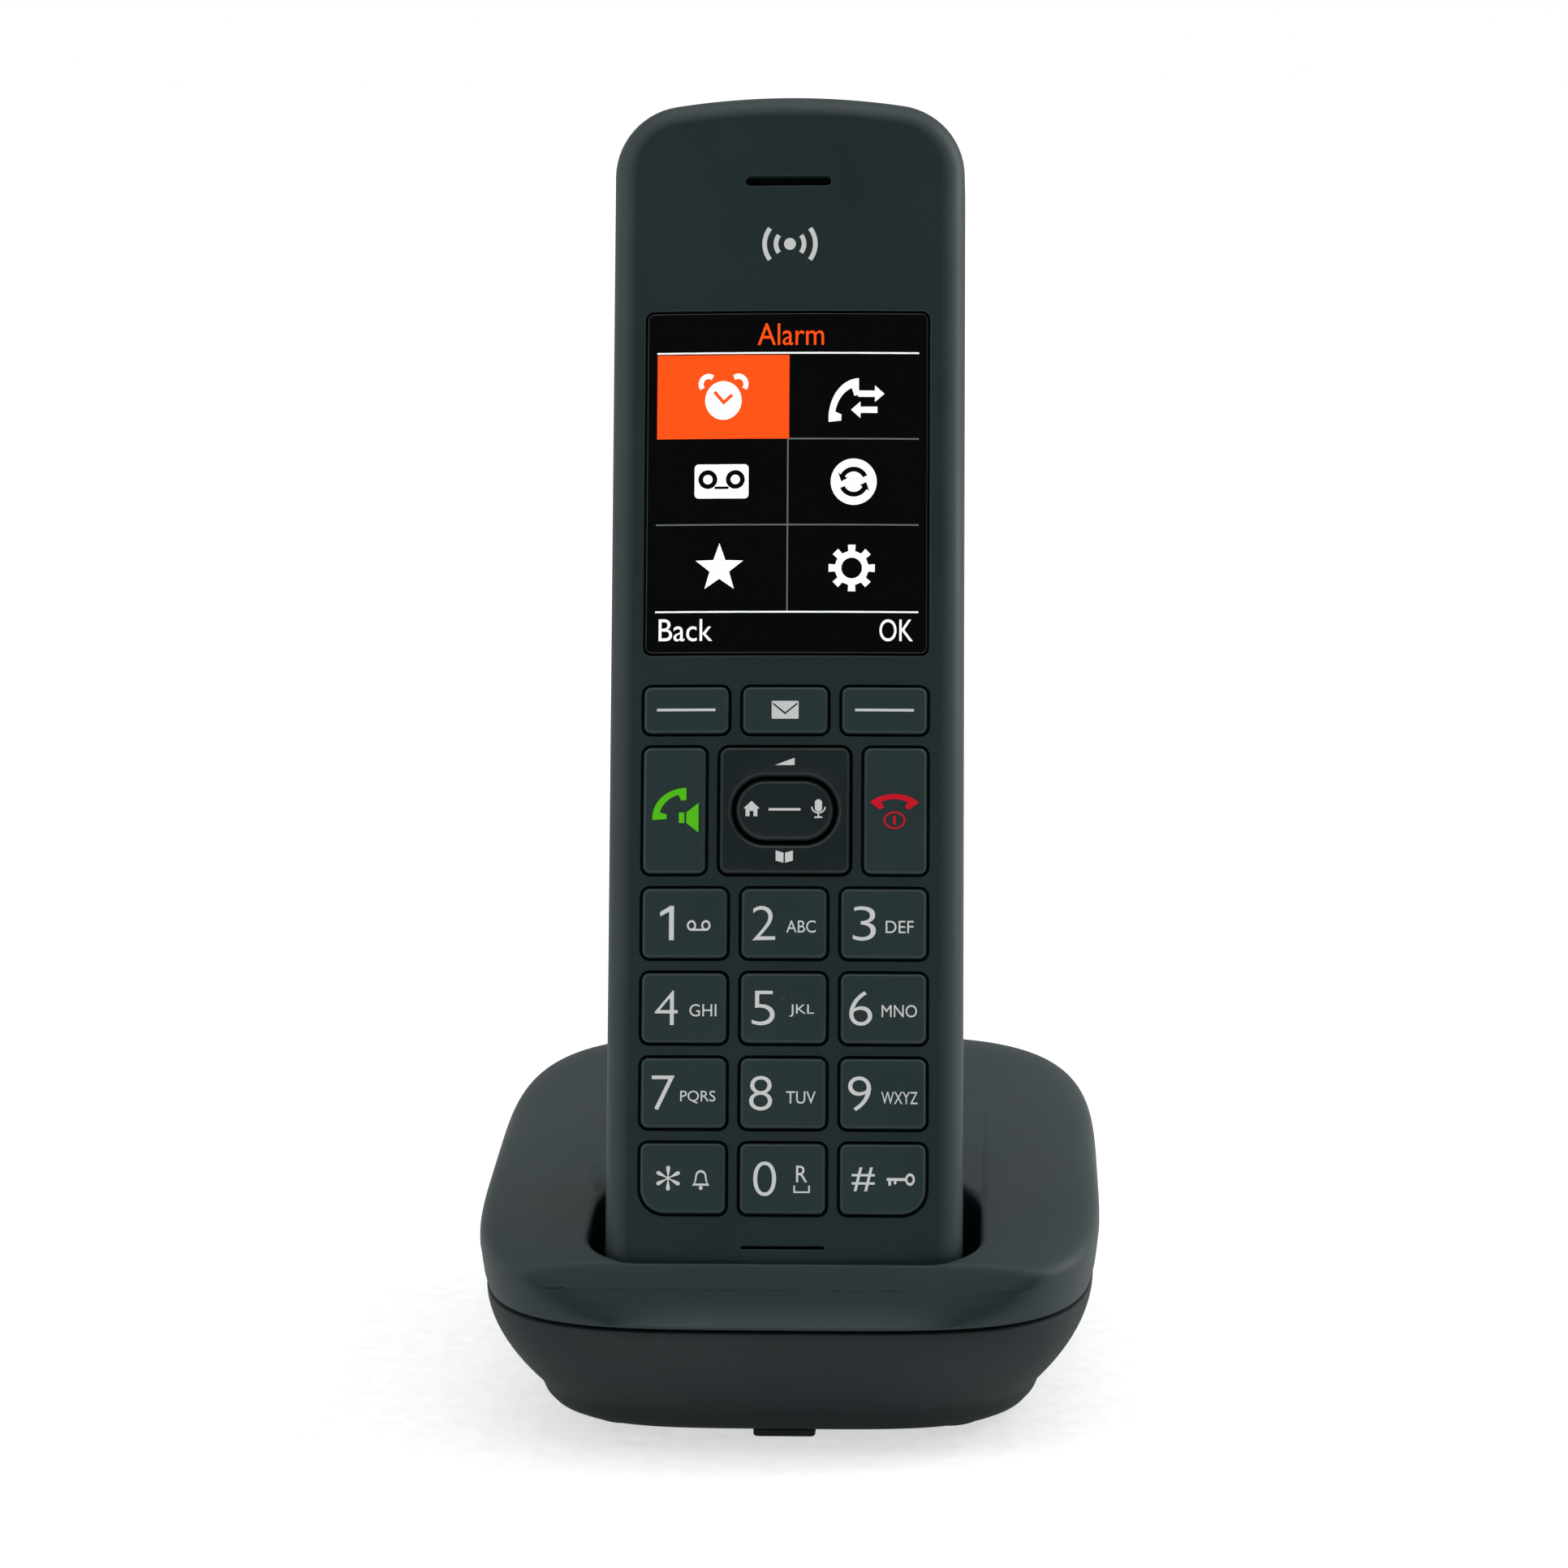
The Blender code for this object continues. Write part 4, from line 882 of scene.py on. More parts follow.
class Coil(NodeTree):
    """Winds a wire into a conical spring along Z."""

    def __init__(self) -> None:
        """Build the tree."""
        super().__init__("wind_a_spring")
        self.inputs(Turns="Float", Foot_Radius="Float", Head_Radius="Float", Rise="Float",
                    Wire_Radius="Float", Finish="Material")
        spiral = self.node("GeometryNodeCurveSpiral", {
            "Resolution": 20, "Rotations": "Turns", "Start Radius": "Foot Radius",
            "End Radius": "Head Radius", "Height": "Rise"})
        wire = self.node("GeometryNodeCurvePrimitiveCircle", {"Resolution": 8, "Radius": "Wire Radius"})
        tube = self.node("GeometryNodeCurveToMesh", {
            "Curve": spiral.outputs[0], "Profile Curve": wire.outputs[0], "Fill Caps": True})
        self.close(tube.outputs[0])

    def wind(self, turns: float, foot: float, head: float, rise: float) -> bpy.types.Mesh:
        """One spring.

        Args:
            turns: its turns.
            foot: radius at Z = 0.
            head: radius at its end.
            rise: its length.

        Returns:
            Its mesh.
        """
        return self.run(bpy.data.meshes.new("spring"), Turns=turns, Foot_Radius=foot,
                        Head_Radius=head, Rise=rise, Wire_Radius=0.22 * MM, Finish=STEEL.material())


# ---- printed marks ---------------------------------------------------------------------
Icon = Enum("Icon", "LINE ENVELOPE WEDGE BOOK HOUSE VOICE REELS BELL SPACE LOCK_KEY STAR GEAR CLOCK "
                    "CALLS TAPE CYCLE TALK END SIGNAL TILE ONE")


def receiver(x: float, y: float, size: float, turn: float) -> Outline:
    """A telephone receiver seen from the side.

    Args:
        x: the middle's X.
        y: the middle's Y.
        size: its length.
        turn: where its back points, in degrees.

    Returns:
        Its outline.
    """
    outer, inner, lobe = 0.70 * size, 0.56 * size, 0.41 * size
    half, foot = 47.0, 30.0
    points = arc(0, 0, outer, turn - half, turn + half, 14)
    points += arc(0, 0, lobe, turn + half, turn + foot + 2, 3)
    points += arc(0, 0, inner, turn + foot, turn - foot, 8)
    points += arc(0, 0, lobe, turn - foot - 2, turn - half, 3)
    way = math.radians(turn)
    return [(px + x - 0.55 * size * math.cos(way), py + y - 0.55 * size * math.sin(way))
            for px, py in points]


def arrow(x: float, y: float, length: float, sign: int) -> Outline:
    """A straight arrow that points along sign * X.

    Args:
        x: middle of the arrow.
        y: middle of the arrow.
        length: length over all.
        sign: 1 for an arrow to the right, -1 for one to the left.

    Returns:
        The outline.
    """
    shaft, head = 0.09 * length, 0.24 * length
    neck = length / 2 - 0.36 * length
    points = [(-length / 2, -shaft), (neck, -shaft), (neck, -head), (length / 2, 0), (neck, head),
              (neck, shaft), (-length / 2, shaft)]
    return [(x + sign * px, y + py) for px, py in points]


def curved_arrow(radius: float, width: float, start: float, stop: float) -> Outline:
    """A bent arrow about the origin, its head at the last angle.

    Args:
        radius: radius of the shaft's middle line.
        width: width of the shaft.
        start: first angle in degrees.
        stop: last angle in degrees.

    Returns:
        The outline.
    """
    inner, outer = radius - width / 2, radius + width / 2
    points = arc(0, 0, outer, start, stop, 10) + arc(0, 0, outer + width * 0.6, stop, stop, 1)[:1]
    tip = math.radians(stop + math.degrees(1.3 * width / radius) * (1 if stop > start else -1))
    points.append((radius * math.cos(tip), radius * math.sin(tip)))
    points += arc(0, 0, inner - width * 0.6, stop, stop, 1)[:1]
    return points + arc(0, 0, inner, stop, start, 10)


def square(left: float, right: float, low: float, high: float) -> Outline:
    """A plain box by its edges."""
    return [(left, low), (right, low), (right, high), (left, high)]


def bell(share: float) -> Outline:
    """A bell's dome at a share of its size."""
    dome = [(-10, -7), (-7.5, -3), *arc(0, 3, 6.5, 180, 0, 12), (7.5, -3), (10, -7)]
    return [(x * share, y * share) for x, y in dome]


def star() -> Outline:
    """A star with five points."""
    radii = (10, 4.1) * 5
    return [(radius * math.sin(k * math.pi / 5), radius * math.cos(k * math.pi / 5))
            for k, radius in enumerate(radii)]


def cog() -> Outline:
    """A cog with eight teeth."""
    ways = [(radius, math.radians(45 * k + angle)) for k in range(8)
            for radius, angle in ((7.6, -11.5), (10.4, -9.5), (10.4, 9.5), (7.6, 11.5))]
    return [(radius * math.cos(way), radius * math.sin(way)) for radius, way in ways]


def alarm_bells() -> list[list[Outline]]:
    """The two bells of an alarm clock."""
    return [[ribbon(arc(sign * 9.2, 9.4, 4.6, 45 - sign * 45 - 35, 45 - sign * 45 + 125, 8), 3.0)]
            for sign in (-1, 1)]


def waves() -> list[list[Outline]]:
    """Two bows of radio waves on each side of the origin."""
    return [[ribbon(arc(0, 0, radius, way - 38, way + 38, 10), 1.7)]
            for radius in (5.2, 9.4) for way in (0, 180)]


def drawing(icon: Icon) -> list[list[Outline]]:
    """The outlines of an icon, in any unit.

    Args:
        icon: which one.

    Returns:
        Groups of outlines; inside one group, an outline in another is a hole.
    """
    page = [(-11, 6), (-1.0, 3.6), (-1.0, -7), (-11, -4.8)]
    flap = [(-15.5, 10), (0, -3.2), (15.5, 10), (15.5, 7.4), (0, -6.2), (-15.5, 7.4)]
    return {
        Icon.LINE: [[square(-10, 10, -0.55, 0.55)]],
        Icon.TILE: [[square(-1, 1, -1, 1)]],
        Icon.ONE: [[[(1.6, -10), (4.4, -10), (4.4, 10), (2.2, 10), (-3.6, 6.4), (-3.6, 3.8),
                     (1.6, 6.6)]]],
        Icon.ENVELOPE: [[round_box(0, 0, 34, 24, 1.2, 2), flap]],
        Icon.WEDGE: [[[(-13, -4.5), (13, -4.5), (13, 5)]]],
        Icon.BOOK: [[page], [[(-x, y) for x, y in page][::-1]]],
        Icon.HOUSE: [[[(0, 10), (11, 0.5), (8, 0.5), (8, -9), (2.6, -9), (2.6, -2.5), (-2.6, -2.5),
                       (-2.6, -9), (-8, -9), (-8, 0.5), (-11, 0.5)]]],
        Icon.VOICE: [[round_box(0, 3.5, 8, 15, 4, 6)], [ribbon(arc(0, 2, 7.4, 180, 360, 12), 1.6)],
                     [round_box(0, -8, 1.8, 5, 0.3, 1)], [round_box(0, -10.6, 9, 1.8, 0.5, 2)]],
        Icon.REELS: [[disc(-8.4, 0, 5.4), disc(-8.4, 0, 3.2)], [disc(8.4, 0, 5.4), disc(8.4, 0, 3.2)],
                     [square(-8.4, 8.4, -5.4, -3.4)]],
        Icon.BELL: [[bell(1.0), [(x, y + 0.3) for x, y in bell(0.72)]], [disc(0, -9.4, 2.2, 14)]],
        Icon.SPACE: [[ribbon([(-9, 4), (-9, -4), (9, -4), (9, 4)], 1.9)]],
        Icon.LOCK_KEY: [[disc(12, 0, 6.0), disc(12, 0, 3.4)], [square(-17, 6.5, -1.4, 1.4)],
                        [square(-15, -11.6, -6, -1.4)], [square(-8, -5, -4.6, -1.4)]],
        Icon.STAR: [[star()]],
        Icon.GEAR: [[cog(), disc(0, 0, 4.6)]],
        Icon.CLOCK: [[disc(0, 0, 11.2, 48), ribbon([(-5.5, 5.0), (0.2, -1.2), (5.4, 3.2)], 2.0)],
                     *alarm_bells()],
        Icon.CALLS: [[receiver(-8, 0, 25, 138)], [arrow(9, 1.6, 15, 1)], [arrow(5, -5.4, 15, -1)]],
        Icon.TAPE: [[round_box(0, 0, 33, 21, 2.4, 4), disc(-8.4, 1.2, 5.8), disc(-8.4, 1.2, 2.9),
                     disc(8.4, 1.2, 5.8), disc(8.4, 1.2, 2.9), round_box(0, -3.9, 8.6, 1.6, 0.3, 1)]],
        Icon.CYCLE: [[disc(0, 0, 14, 48), curved_arrow(7.6, 3.0, 25, 150),
                      curved_arrow(7.6, 3.0, 205, 330)]],
        Icon.TALK: [[receiver(-7, 3, 40, 138)], [square(3, 7.4, -17, -7)],
                    [[(9, -17), (19, -26), (19, 2), (9, -7)]]],
        Icon.END: [[receiver(0, 9, 40, 90)], [disc(0, -13, 9.2), disc(0, -13, 7.6)],
                   [square(-1.1, 1.1, -17.6, -8.4)]],
        Icon.SIGNAL: [[disc(0, 0, 2.2, 20)], *waves()],
    }[icon]


@dataclass(frozen=True)
class Mark:
    """One printed mark on a flat face.

    Attributes:
        what: an icon, or a few letters.
        x: its middle's X.
        y: its middle's Y.
        width: its width.
        height: its height.
    """

    what: Icon | str
    x: float
    y: float
    width: float
    height: float

    THICKNESS = 0.03 * MM
    STRIP = 1.5 * MM

    def build(self, level: float) -> bpy.types.Mesh:
        """The mark as thin solids.

        Args:
            level: height of the face that it lies on.

        Returns:
            Its mesh, crowned with the face.
        """
        mesh = self.letters() if isinstance(self.what, str) else self.picture()
        solid = bmesh.new()
        solid.from_mesh(mesh)
        bpy.data.meshes.remove(mesh)
        bmesh.ops.remove_doubles(solid, verts=solid.verts, dist=1e-5)
        low = [min(v.co[k] for v in solid.verts) for k in range(2)]
        high = [max(v.co[k] for v in solid.verts) for k in range(2)]
        scale = (self.width / (high[0] - low[0]), self.height / (high[1] - low[1]))
        for vertex in solid.verts:
            vertex.co.x = self.x + (vertex.co.x - (low[0] + high[0]) / 2) * scale[0]
            vertex.co.y = self.y + (vertex.co.y - (low[1] + high[1]) / 2) * scale[1]
            vertex.co.z = level + (self.THICKNESS if vertex.co.z > 0 else -self.THICKNESS)
        cut_across(solid, [self.x - self.width / 2 + step * self.STRIP
                           for step in range(1, math.ceil(self.width / self.STRIP))])
        for vertex in solid.verts:
            vertex.co.z -= CROWN.fall(vertex.co.x, vertex.co.z)
        bmesh.ops.recalc_face_normals(solid, faces=solid.faces)
        return as_mesh(solid, "mark")

    def letters(self) -> bpy.types.Mesh:
        """The letters' solid in the built-in font, digits a little thinner."""
        curve = bpy.data.curves.new("letters", "FONT")
        curve.body = self.what
        curve.resolution_u = 5
        curve.offset = -0.012 if self.what.isdigit() else 0.0
        curve.extrude = 0.01
        return evaluated(helper(curve, "letters"))

    def picture(self) -> bpy.types.Mesh:
        """The icon's solid, one filled curve for each group of outlines."""
        meshes = []
        for group in drawing(self.what):
            curve = bpy.data.curves.new("picture", "CURVE")
            curve.dimensions = "2D"
            curve.fill_mode = "BOTH"
            curve.extrude = 0.01
            for outline in group:
                spline = curve.splines.new("POLY")
                spline.points.add(len(outline) - 1)
                for point, (x, y) in zip(spline.points, outline):
                    point.co = (x, y, 0.0, 1.0)
                spline.use_cyclic_u = True
            meshes.append(evaluated(helper(curve, "picture")))
        return joined(meshes)


def marks(name: str, body: str, finish: Finish, level: float, *rows: Mark) -> None:
    """Several marks of one colour as one piece of the handset."""
    piece(name, joined([row.build(level) for row in rows]), finish, body, HANDSET)


# ---- the handset's keys ----------------------------------------------------------------
# The small unit in which the keys' marks are drawn.
UNIT = 1.0 / 9.30 * MM


@dataclass(frozen=True)
class KeyCap:
    """One plain key of the handset.

    Attributes:
        name: the CAD node's name.
        x: its middle's X.
        y: its middle along the handset.
        width: its width.
        height: its height.
        corners: its corner radii.
        ink: the finish of its print.
        print: its marks, placed from its middle.
    """

    name: str
    x: float
    y: float
    width: float
    height: float
    corners: tuple[float, ...]
    ink: Finish
    print: tuple[Mark, ...]

    TOP = 11.5 * MM
    SKIRT = 8.1 * MM
    SKIRT_TOP = 8.2 * MM
    STRAIGHT = 9.9 * MM
    EDGE = 0.5 * MM
    PILLOW = 0.10 * MM
    REACH = 0.85 * MM

    def profile(self) -> Profile:
        """The profile: a thin skirt under the face, straight sides and a soft pillowed top."""
        rows: Profile = [(-self.REACH, self.SKIRT), (-self.REACH, self.SKIRT_TOP), (0.0, self.SKIRT_TOP)]
        rows += rounded(self.TOP - self.PILLOW, self.EDGE, 5, stop=78.0)
        reach = min(self.width, self.height) / 2
        for share in (0.35, 0.6, 0.85):
            inset = self.EDGE + (reach - self.EDGE) * share
            rows.append((inset, self.TOP - self.PILLOW * (1 - share) ** 2))
        return rows

    def build(self) -> None:
        """Make the cap and its print."""
        shape = box_shape(self.x, self.y, self.width, self.height, self.corners)
        mesh = moulded(shape, self.profile())
        sliced(mesh, self.x - self.width / 2, self.x + self.width / 2, self.width / 8)
        bent = Crown(start=self.SKIRT_TOP, full=self.STRAIGHT).bend(mesh)
        piece(f"{self.name}_cap", bent, KEYS, self.name, HANDSET, [self.name], 40.0,
              crowned=True)
        if self.print:
            placed = [Mark(row.what, self.x + row.x, self.y + row.y, row.width, row.height)
                      for row in self.print]
            marks(f"{self.name}_print", self.name, self.ink, self.TOP - 0.01 * MM, *placed)


def digit(text: str, x: float, letters: Icon | str, side: float, width: float,
          height: float = 15.0, drop: float = 4.0, tall: float = 42.0) -> tuple[Mark, Mark]:
    """A digit and the smaller letters beside it, in tenths of a key.

    Args:
        text: the digit.
        x: its middle's X.
        letters: the letters or icon beside it.
        side: their middle's X.
        width: their width.
        height: their height.
        drop: how far they lie under the key's middle.
        tall: the digit's height.

    Returns:
        Both marks.
    """
    wide = {"1": 17.0, "*": 29.0, "#": 28.0}.get(text, 28.0)
    return (Mark(Icon.ONE if text == "1" else text, x * UNIT, 0.0, wide * UNIT, tall * UNIT),
            Mark(letters, side * UNIT, -drop * UNIT, width * UNIT, height * UNIT))


@dataclass
class Keypad:
    """The handset's keys: twelve digit keys, three soft keys, talk and end.

    Attributes:
        panel: width of a row of keys.
        space: between the keys of a row.
        start: where the lowest row begins.
        row_height: height of a digit key.
        row_space: between two rows.
        nav_width: the rocker's width.
        nav_height: the rocker's height.
        soft_height: height of the soft keys.
        corner: the usual corner radius.
        pad_corner: outer corner of the star and hash keys.
    """

    panel: float = 37.4 * MM
    space: float = 1.9 * MM
    start: float = 13.0 * MM
    row_height: float = 9.15 * MM
    row_space: float = 2.0 * MM
    nav_width: float = 17.1 * MM
    nav_height: float = 16.65 * MM
    soft_height: float = 6.15 * MM
    corner: float = 0.95 * MM
    pad_corner: float = 3.2 * MM

    @property
    def nav_start(self) -> float:
        """Where the rocker's row begins."""
        return self.start + 4 * (self.row_height + self.row_space)

    @property
    def nav_middle(self) -> float:
        """The rocker's middle."""
        return self.nav_start + self.nav_height / 2

    @property
    def soft_start(self) -> float:
        """Where the soft keys begin."""
        return self.nav_start + self.nav_height + self.space

    def legends(self) -> dict[str, tuple[Mark, ...]]:
        """The print of each digit key."""
        return {
            "one": digit("1", -21.5, Icon.REELS, 17.5, 29.0, 13.0, 3.0),
            "two": digit("2", -24.5, "ABC", 21.0, 36.0),
            "three": digit("3", -23.5, "DEF", 19.5, 34.0),
            "four": digit("4", -21.5, "GHI", 23.5, 33.0, 15.0, 3.0),
            "five": digit("5", -24.5, "JKL", 22.5, 30.0, 15.0, 3.0),
            "six": digit("6", -27.5, "MNO", 19.5, 43.0, 15.0, 3.0),
            "seven": digit("7", -24.5, "PQRS", 18.0, 43.0, 15.5, 5.0),
            "eight": digit("8", -27.0, "TUV", 22.0, 36.0, 15.0, 5.0),
            "nine": digit("9", -28.5, "WXYZ", 20.0, 44.0, 15.0, 5.0),
            "star": digit("*", -17.5, Icon.BELL, 22.5, 21.0, 24.0, 2.0, 30.0),
            "zero": (*digit("0", -21.5, "R", 23.5, 13.5, 20.0, -6.0),
                     Mark(Icon.SPACE, 23.5 * UNIT, -12.5 * UNIT, 20.0 * UNIT, 9.0 * UNIT)),
            "hash": digit("#", -23.5, Icon.LOCK_KEY, 22.0, 34.0, 15.0, 0.0, 29.0),
        }

    def keys(self) -> list[KeyCap]:
        """Every plain key."""
        third = (self.panel - 2 * self.space) / 3
        pitch = third + self.space
        side = (self.panel - self.nav_width) / 2 - self.space
        legends = self.legends()
        caps = []
        rows = (("star", "zero", "hash"), ("seven", "eight", "nine"), ("four", "five", "six"),
                ("one", "two", "three"))
        for row, names in enumerate(rows):
            y = self.start + row * (self.row_height + self.row_space) + self.row_height / 2
            for column, name in enumerate(names):
                corners = [self.corner] * 4
                if name in ("star", "hash"):
                    corners[column // 2] = self.pad_corner
                caps.append(KeyCap(f"key_{name}", (column - 1) * pitch, y, third, self.row_height,
                                   tuple(corners), INK, legends[name]))
        edge = self.panel / 2 - side / 2
        plain = (self.corner,) * 4
        caps.append(KeyCap("key_talk", -edge, self.nav_middle, side, self.nav_height, plain, INK_GREEN,
                           (Mark(Icon.TALK, 1.5 * UNIT, 0.0, 57.0 * UNIT, 55.0 * UNIT),)))
        caps.append(KeyCap("key_end", edge, self.nav_middle, side, self.nav_height, plain, INK_RED,
                           (Mark(Icon.END, -1.0 * UNIT, -1.0 * UNIT, 60.0 * UNIT, 43.0 * UNIT),)))
        soft = self.soft_start + self.soft_height / 2
        line = (Mark(Icon.LINE, 0.0, 0.0, 72.0 * UNIT, 3.2 * UNIT),)
        letter = (Mark(Icon.ENVELOPE, 0.0, 0.0, 33.0 * UNIT, 22.0 * UNIT),)
        for column, (name, legend) in enumerate((("soft_left", line), ("message", letter),
                                                 ("soft_right", line))):
            caps.append(KeyCap(f"key_{name}", (column - 1) * pitch, soft, third, self.soft_height,
                               plain, INK, legend))
        return caps

    def build(self) -> None:
        """Make every plain key, the tactile dot and the rocker with its oval key."""
        for cap in self.keys():
            cap.build()
        five = next(cap for cap in self.keys() if cap.name == "key_five")
        dot = moulded(disc_shape(0.0, five.y + 1.3 * MM, 0.42 * MM, 16),
                      [(0.0, KeyCap.TOP - 0.1 * MM), *rounded(KeyCap.TOP + 0.16 * MM, 0.25 * MM, 3)])
        piece("key_five_dot", dot, KEYS, "key_five", HANDSET)
        self.build_rocker()

    def build_rocker(self) -> None:
        """Make the square rocker with its dished well, and the oval key in it."""
        top, low = KeyCap.TOP, KeyCap.SKIRT
        square = box_shape(0.0, self.nav_middle, self.nav_width, self.nav_height, 1.1 * MM, 8)
        profile = [(0.0, low), *rounded(top, 0.5 * MM, 5)]
        mesh = moulded(square, profile)
        well = box_shape(0.0, self.nav_middle, 13.9 * MM, 9.0 * MM, 4.45 * MM, 14)
        dish = [(0.0, low - MM), (0.0, top - 0.75 * MM), (-0.06 * MM, top - 0.5 * MM),
                (-0.2 * MM, top - 0.22 * MM), (-0.45 * MM, top - 0.04 * MM), (-0.62 * MM, top + 0.02 * MM),
                (-0.62 * MM, top + MM)]
        mesh = carved(mesh, moulded(well, dish))
        sliced(mesh, -self.nav_width / 2, self.nav_width / 2, self.nav_width / 14)
        piece("nav_rocker_cap", CROWN.bend(mesh), ROCKER, "nav_rocker", HANDSET, ["nav_rocker"],
              38.0)
        oval = box_shape(0.0, self.nav_middle, 12.9 * MM, 8.0 * MM, 3.98 * MM, 14)
        rows = [(0.0, low), *rounded(top - 0.06 * MM, 0.7 * MM, 7, stop=82.0),
                (1.6 * MM, top - 0.02 * MM), (2.8 * MM, top)]
        mesh = moulded(oval, rows)
        sliced(mesh, -6.0 * MM, 6.0 * MM, 1.5 * MM)
        piece("nav_oval_cap", CROWN.bend(mesh), ROCKER, "nav_oval_key", HANDSET, ["nav_oval_key"],
              38.0)
        middle, level = self.nav_middle, top + 0.005 * MM
        marks("nav_rocker_print", "nav_rocker", INK, level,
              Mark(Icon.WEDGE, 0.0, middle + 60.0 * UNIT, 24.0 * UNIT, 9.0 * UNIT),
              Mark(Icon.BOOK, 0.0, middle - 57.0 * UNIT, 21.0 * UNIT, 15.0 * UNIT))
        marks("nav_oval_print", "nav_oval_key", INK, level,
              Mark(Icon.HOUSE, -40.5 * UNIT, middle + 2.0 * UNIT, 20.0 * UNIT, 19.0 * UNIT),
              Mark(Icon.LINE, 0.0, middle + UNIT, 39.0 * UNIT, 3.0 * UNIT),
              Mark(Icon.VOICE, 41.5 * UNIT, middle + 2.0 * UNIT, 18.0 * UNIT, 23.0 * UNIT))


# ---- the handset's shells, window and battery ------------------------------------------
@dataclass
class Handset:
    """The handset's two shells with everything in them that isn't a key.

    Attributes:
        width: its width.
        length: its length.
        front: height of the face over the line between the shells.
        rear: depth of the back under that line.
        wall: thickness of a shell.
        keypad: its keys.
        rows: the tree that repeats a pattern in a row.
    """

    width: float = 47.0 * MM
    length: float = 162.44 * MM
    front: float = 11.0 * MM
    rear: float = 14.0 * MM
    wall: float = 2.0 * MM
    keypad: Keypad = field(default_factory=Keypad)
    rows: PatternRow = field(default_factory=PatternRow)

    GAP = 0.3 * MM
    KEY_GAP = 0.35 * MM
    WINDOW = (109.65 * MM, 37.4 * MM, 45.7 * MM)
    COVER = (66.0 * MM, 30.0 * MM, 56.0 * MM)
    EAR = (150.4 * MM, 11.4 * MM, 1.3 * MM)
    MIC = (8.6 * MM, 10.9 * MM, 0.4 * MM)
    RINGER = 122.0 * MM
    SCREWS = (14.0 * MM, 146.0 * MM)

    def outline(self, inset: float, steps: int = 14) -> Outline:
        """The handset seen from the front.

        Args:
            inset: how far it is moved in.
            steps: chords in each corner.

        Returns:
            The outline: straight sides and an arched top.
        """
        half, high = self.width / 2 - inset, self.length - inset
        arch = 110.0 * MM - inset
        top = max(9.5 * MM - inset, 0.1 * MM)
        bottom = max(8.0 * MM - inset, 0.1 * MM)
        arch_y = high - arch
        corner_y = arch_y + math.sqrt((arch - top) ** 2 - (half - top) ** 2)
        meet = math.degrees(math.atan2(corner_y - arch_y, half - top))
        points = arc(half - bottom, inset + bottom, bottom, 270, 360, steps)
        points += arc(half - top, corner_y, top, 0, meet, steps)
        points += arc(0.0, arch_y, arch, meet, 180 - meet, 2 * steps)[1:-1]
        points += arc(-half + top, corner_y, top, 180 - meet, 180, steps)
        return points + arc(-half + bottom, inset + bottom, bottom, 180, 270, steps)

    def hole(self, shape: Shape) -> bpy.types.Mesh:
        """A cutter for a hole in the face whose upper edge is broken.

        Args:
            shape: the hole's outline for an inset.

        Returns:
            The cutter.
        """
        top = self.front
        return moulded(shape, [(0.0, top - 5.0 * MM), (0.0, top - 0.16 * MM), (-0.05 * MM, top - 0.06 * MM),
                               (-0.16 * MM, top + 0.01 * MM), (-0.16 * MM, top + MM)])

    def build_front(self) -> None:
        """The front shell: a crowned face with soft sides and its holes."""
        skin: Profile = [(0.3 * MM, 0.15 * MM), (0.0, 0.45 * MM), (0.0, 3.0 * MM)]
        skin += rounded(self.front, 3.6 * MM, 12)
        mesh = moulded(self.outline, skin)
        hollow = moulded(lambda inset: self.outline(self.wall + inset, 6),
                         [(0.0, -self.wall), (0.0, self.front - 3.6 * MM),
                          (1.6 * MM, self.front - self.wall)])
        holes = [self.hole(box_shape(cap.x, cap.y, cap.width + 2 * self.KEY_GAP,
                                     cap.height + 2 * self.KEY_GAP,
                                     [corner + self.KEY_GAP for corner in cap.corners]))
                 for cap in self.keypad.keys()]
        pad, gap = self.keypad, self.KEY_GAP
        holes.append(self.hole(box_shape(0.0, pad.nav_middle, pad.nav_width + 2 * gap,
                                         pad.nav_height + 2 * gap, 1.1 * MM + gap)))
        for y, width, height in (self.EAR, self.MIC):
            holes.append(self.hole(box_shape(0.0, y, width, height, height * 0.46)))
        y, width, height = self.WINDOW
        recess = box_shape(0.0, y, width + 2 * self.GAP, height + 2 * self.GAP, 1.1 * MM)
        top = self.front
        holes.append(moulded(recess, [(0.0, top - 1.3 * MM), (0.0, top - 0.12 * MM),
                                      (-0.12 * MM, top), (-0.12 * MM, top + MM)]))
        sight = moulded(box_shape(0.0, y, width - 3.2 * MM, height - 3.2 * MM, 0.7 * MM),
                        [(0.0, top - 4.0 * MM), (0.0, top - 1.0 * MM)])
        mesh = carved(mesh, hollow, joined(holes), sight)
        sliced(mesh, -22.5 * MM, 22.5 * MM, 1.5 * MM)
        piece("handset_front", CROWN.bend(mesh), BODY, "handset", HANDSET, ["handset_front_shell"],
              34.0, crowned=True)

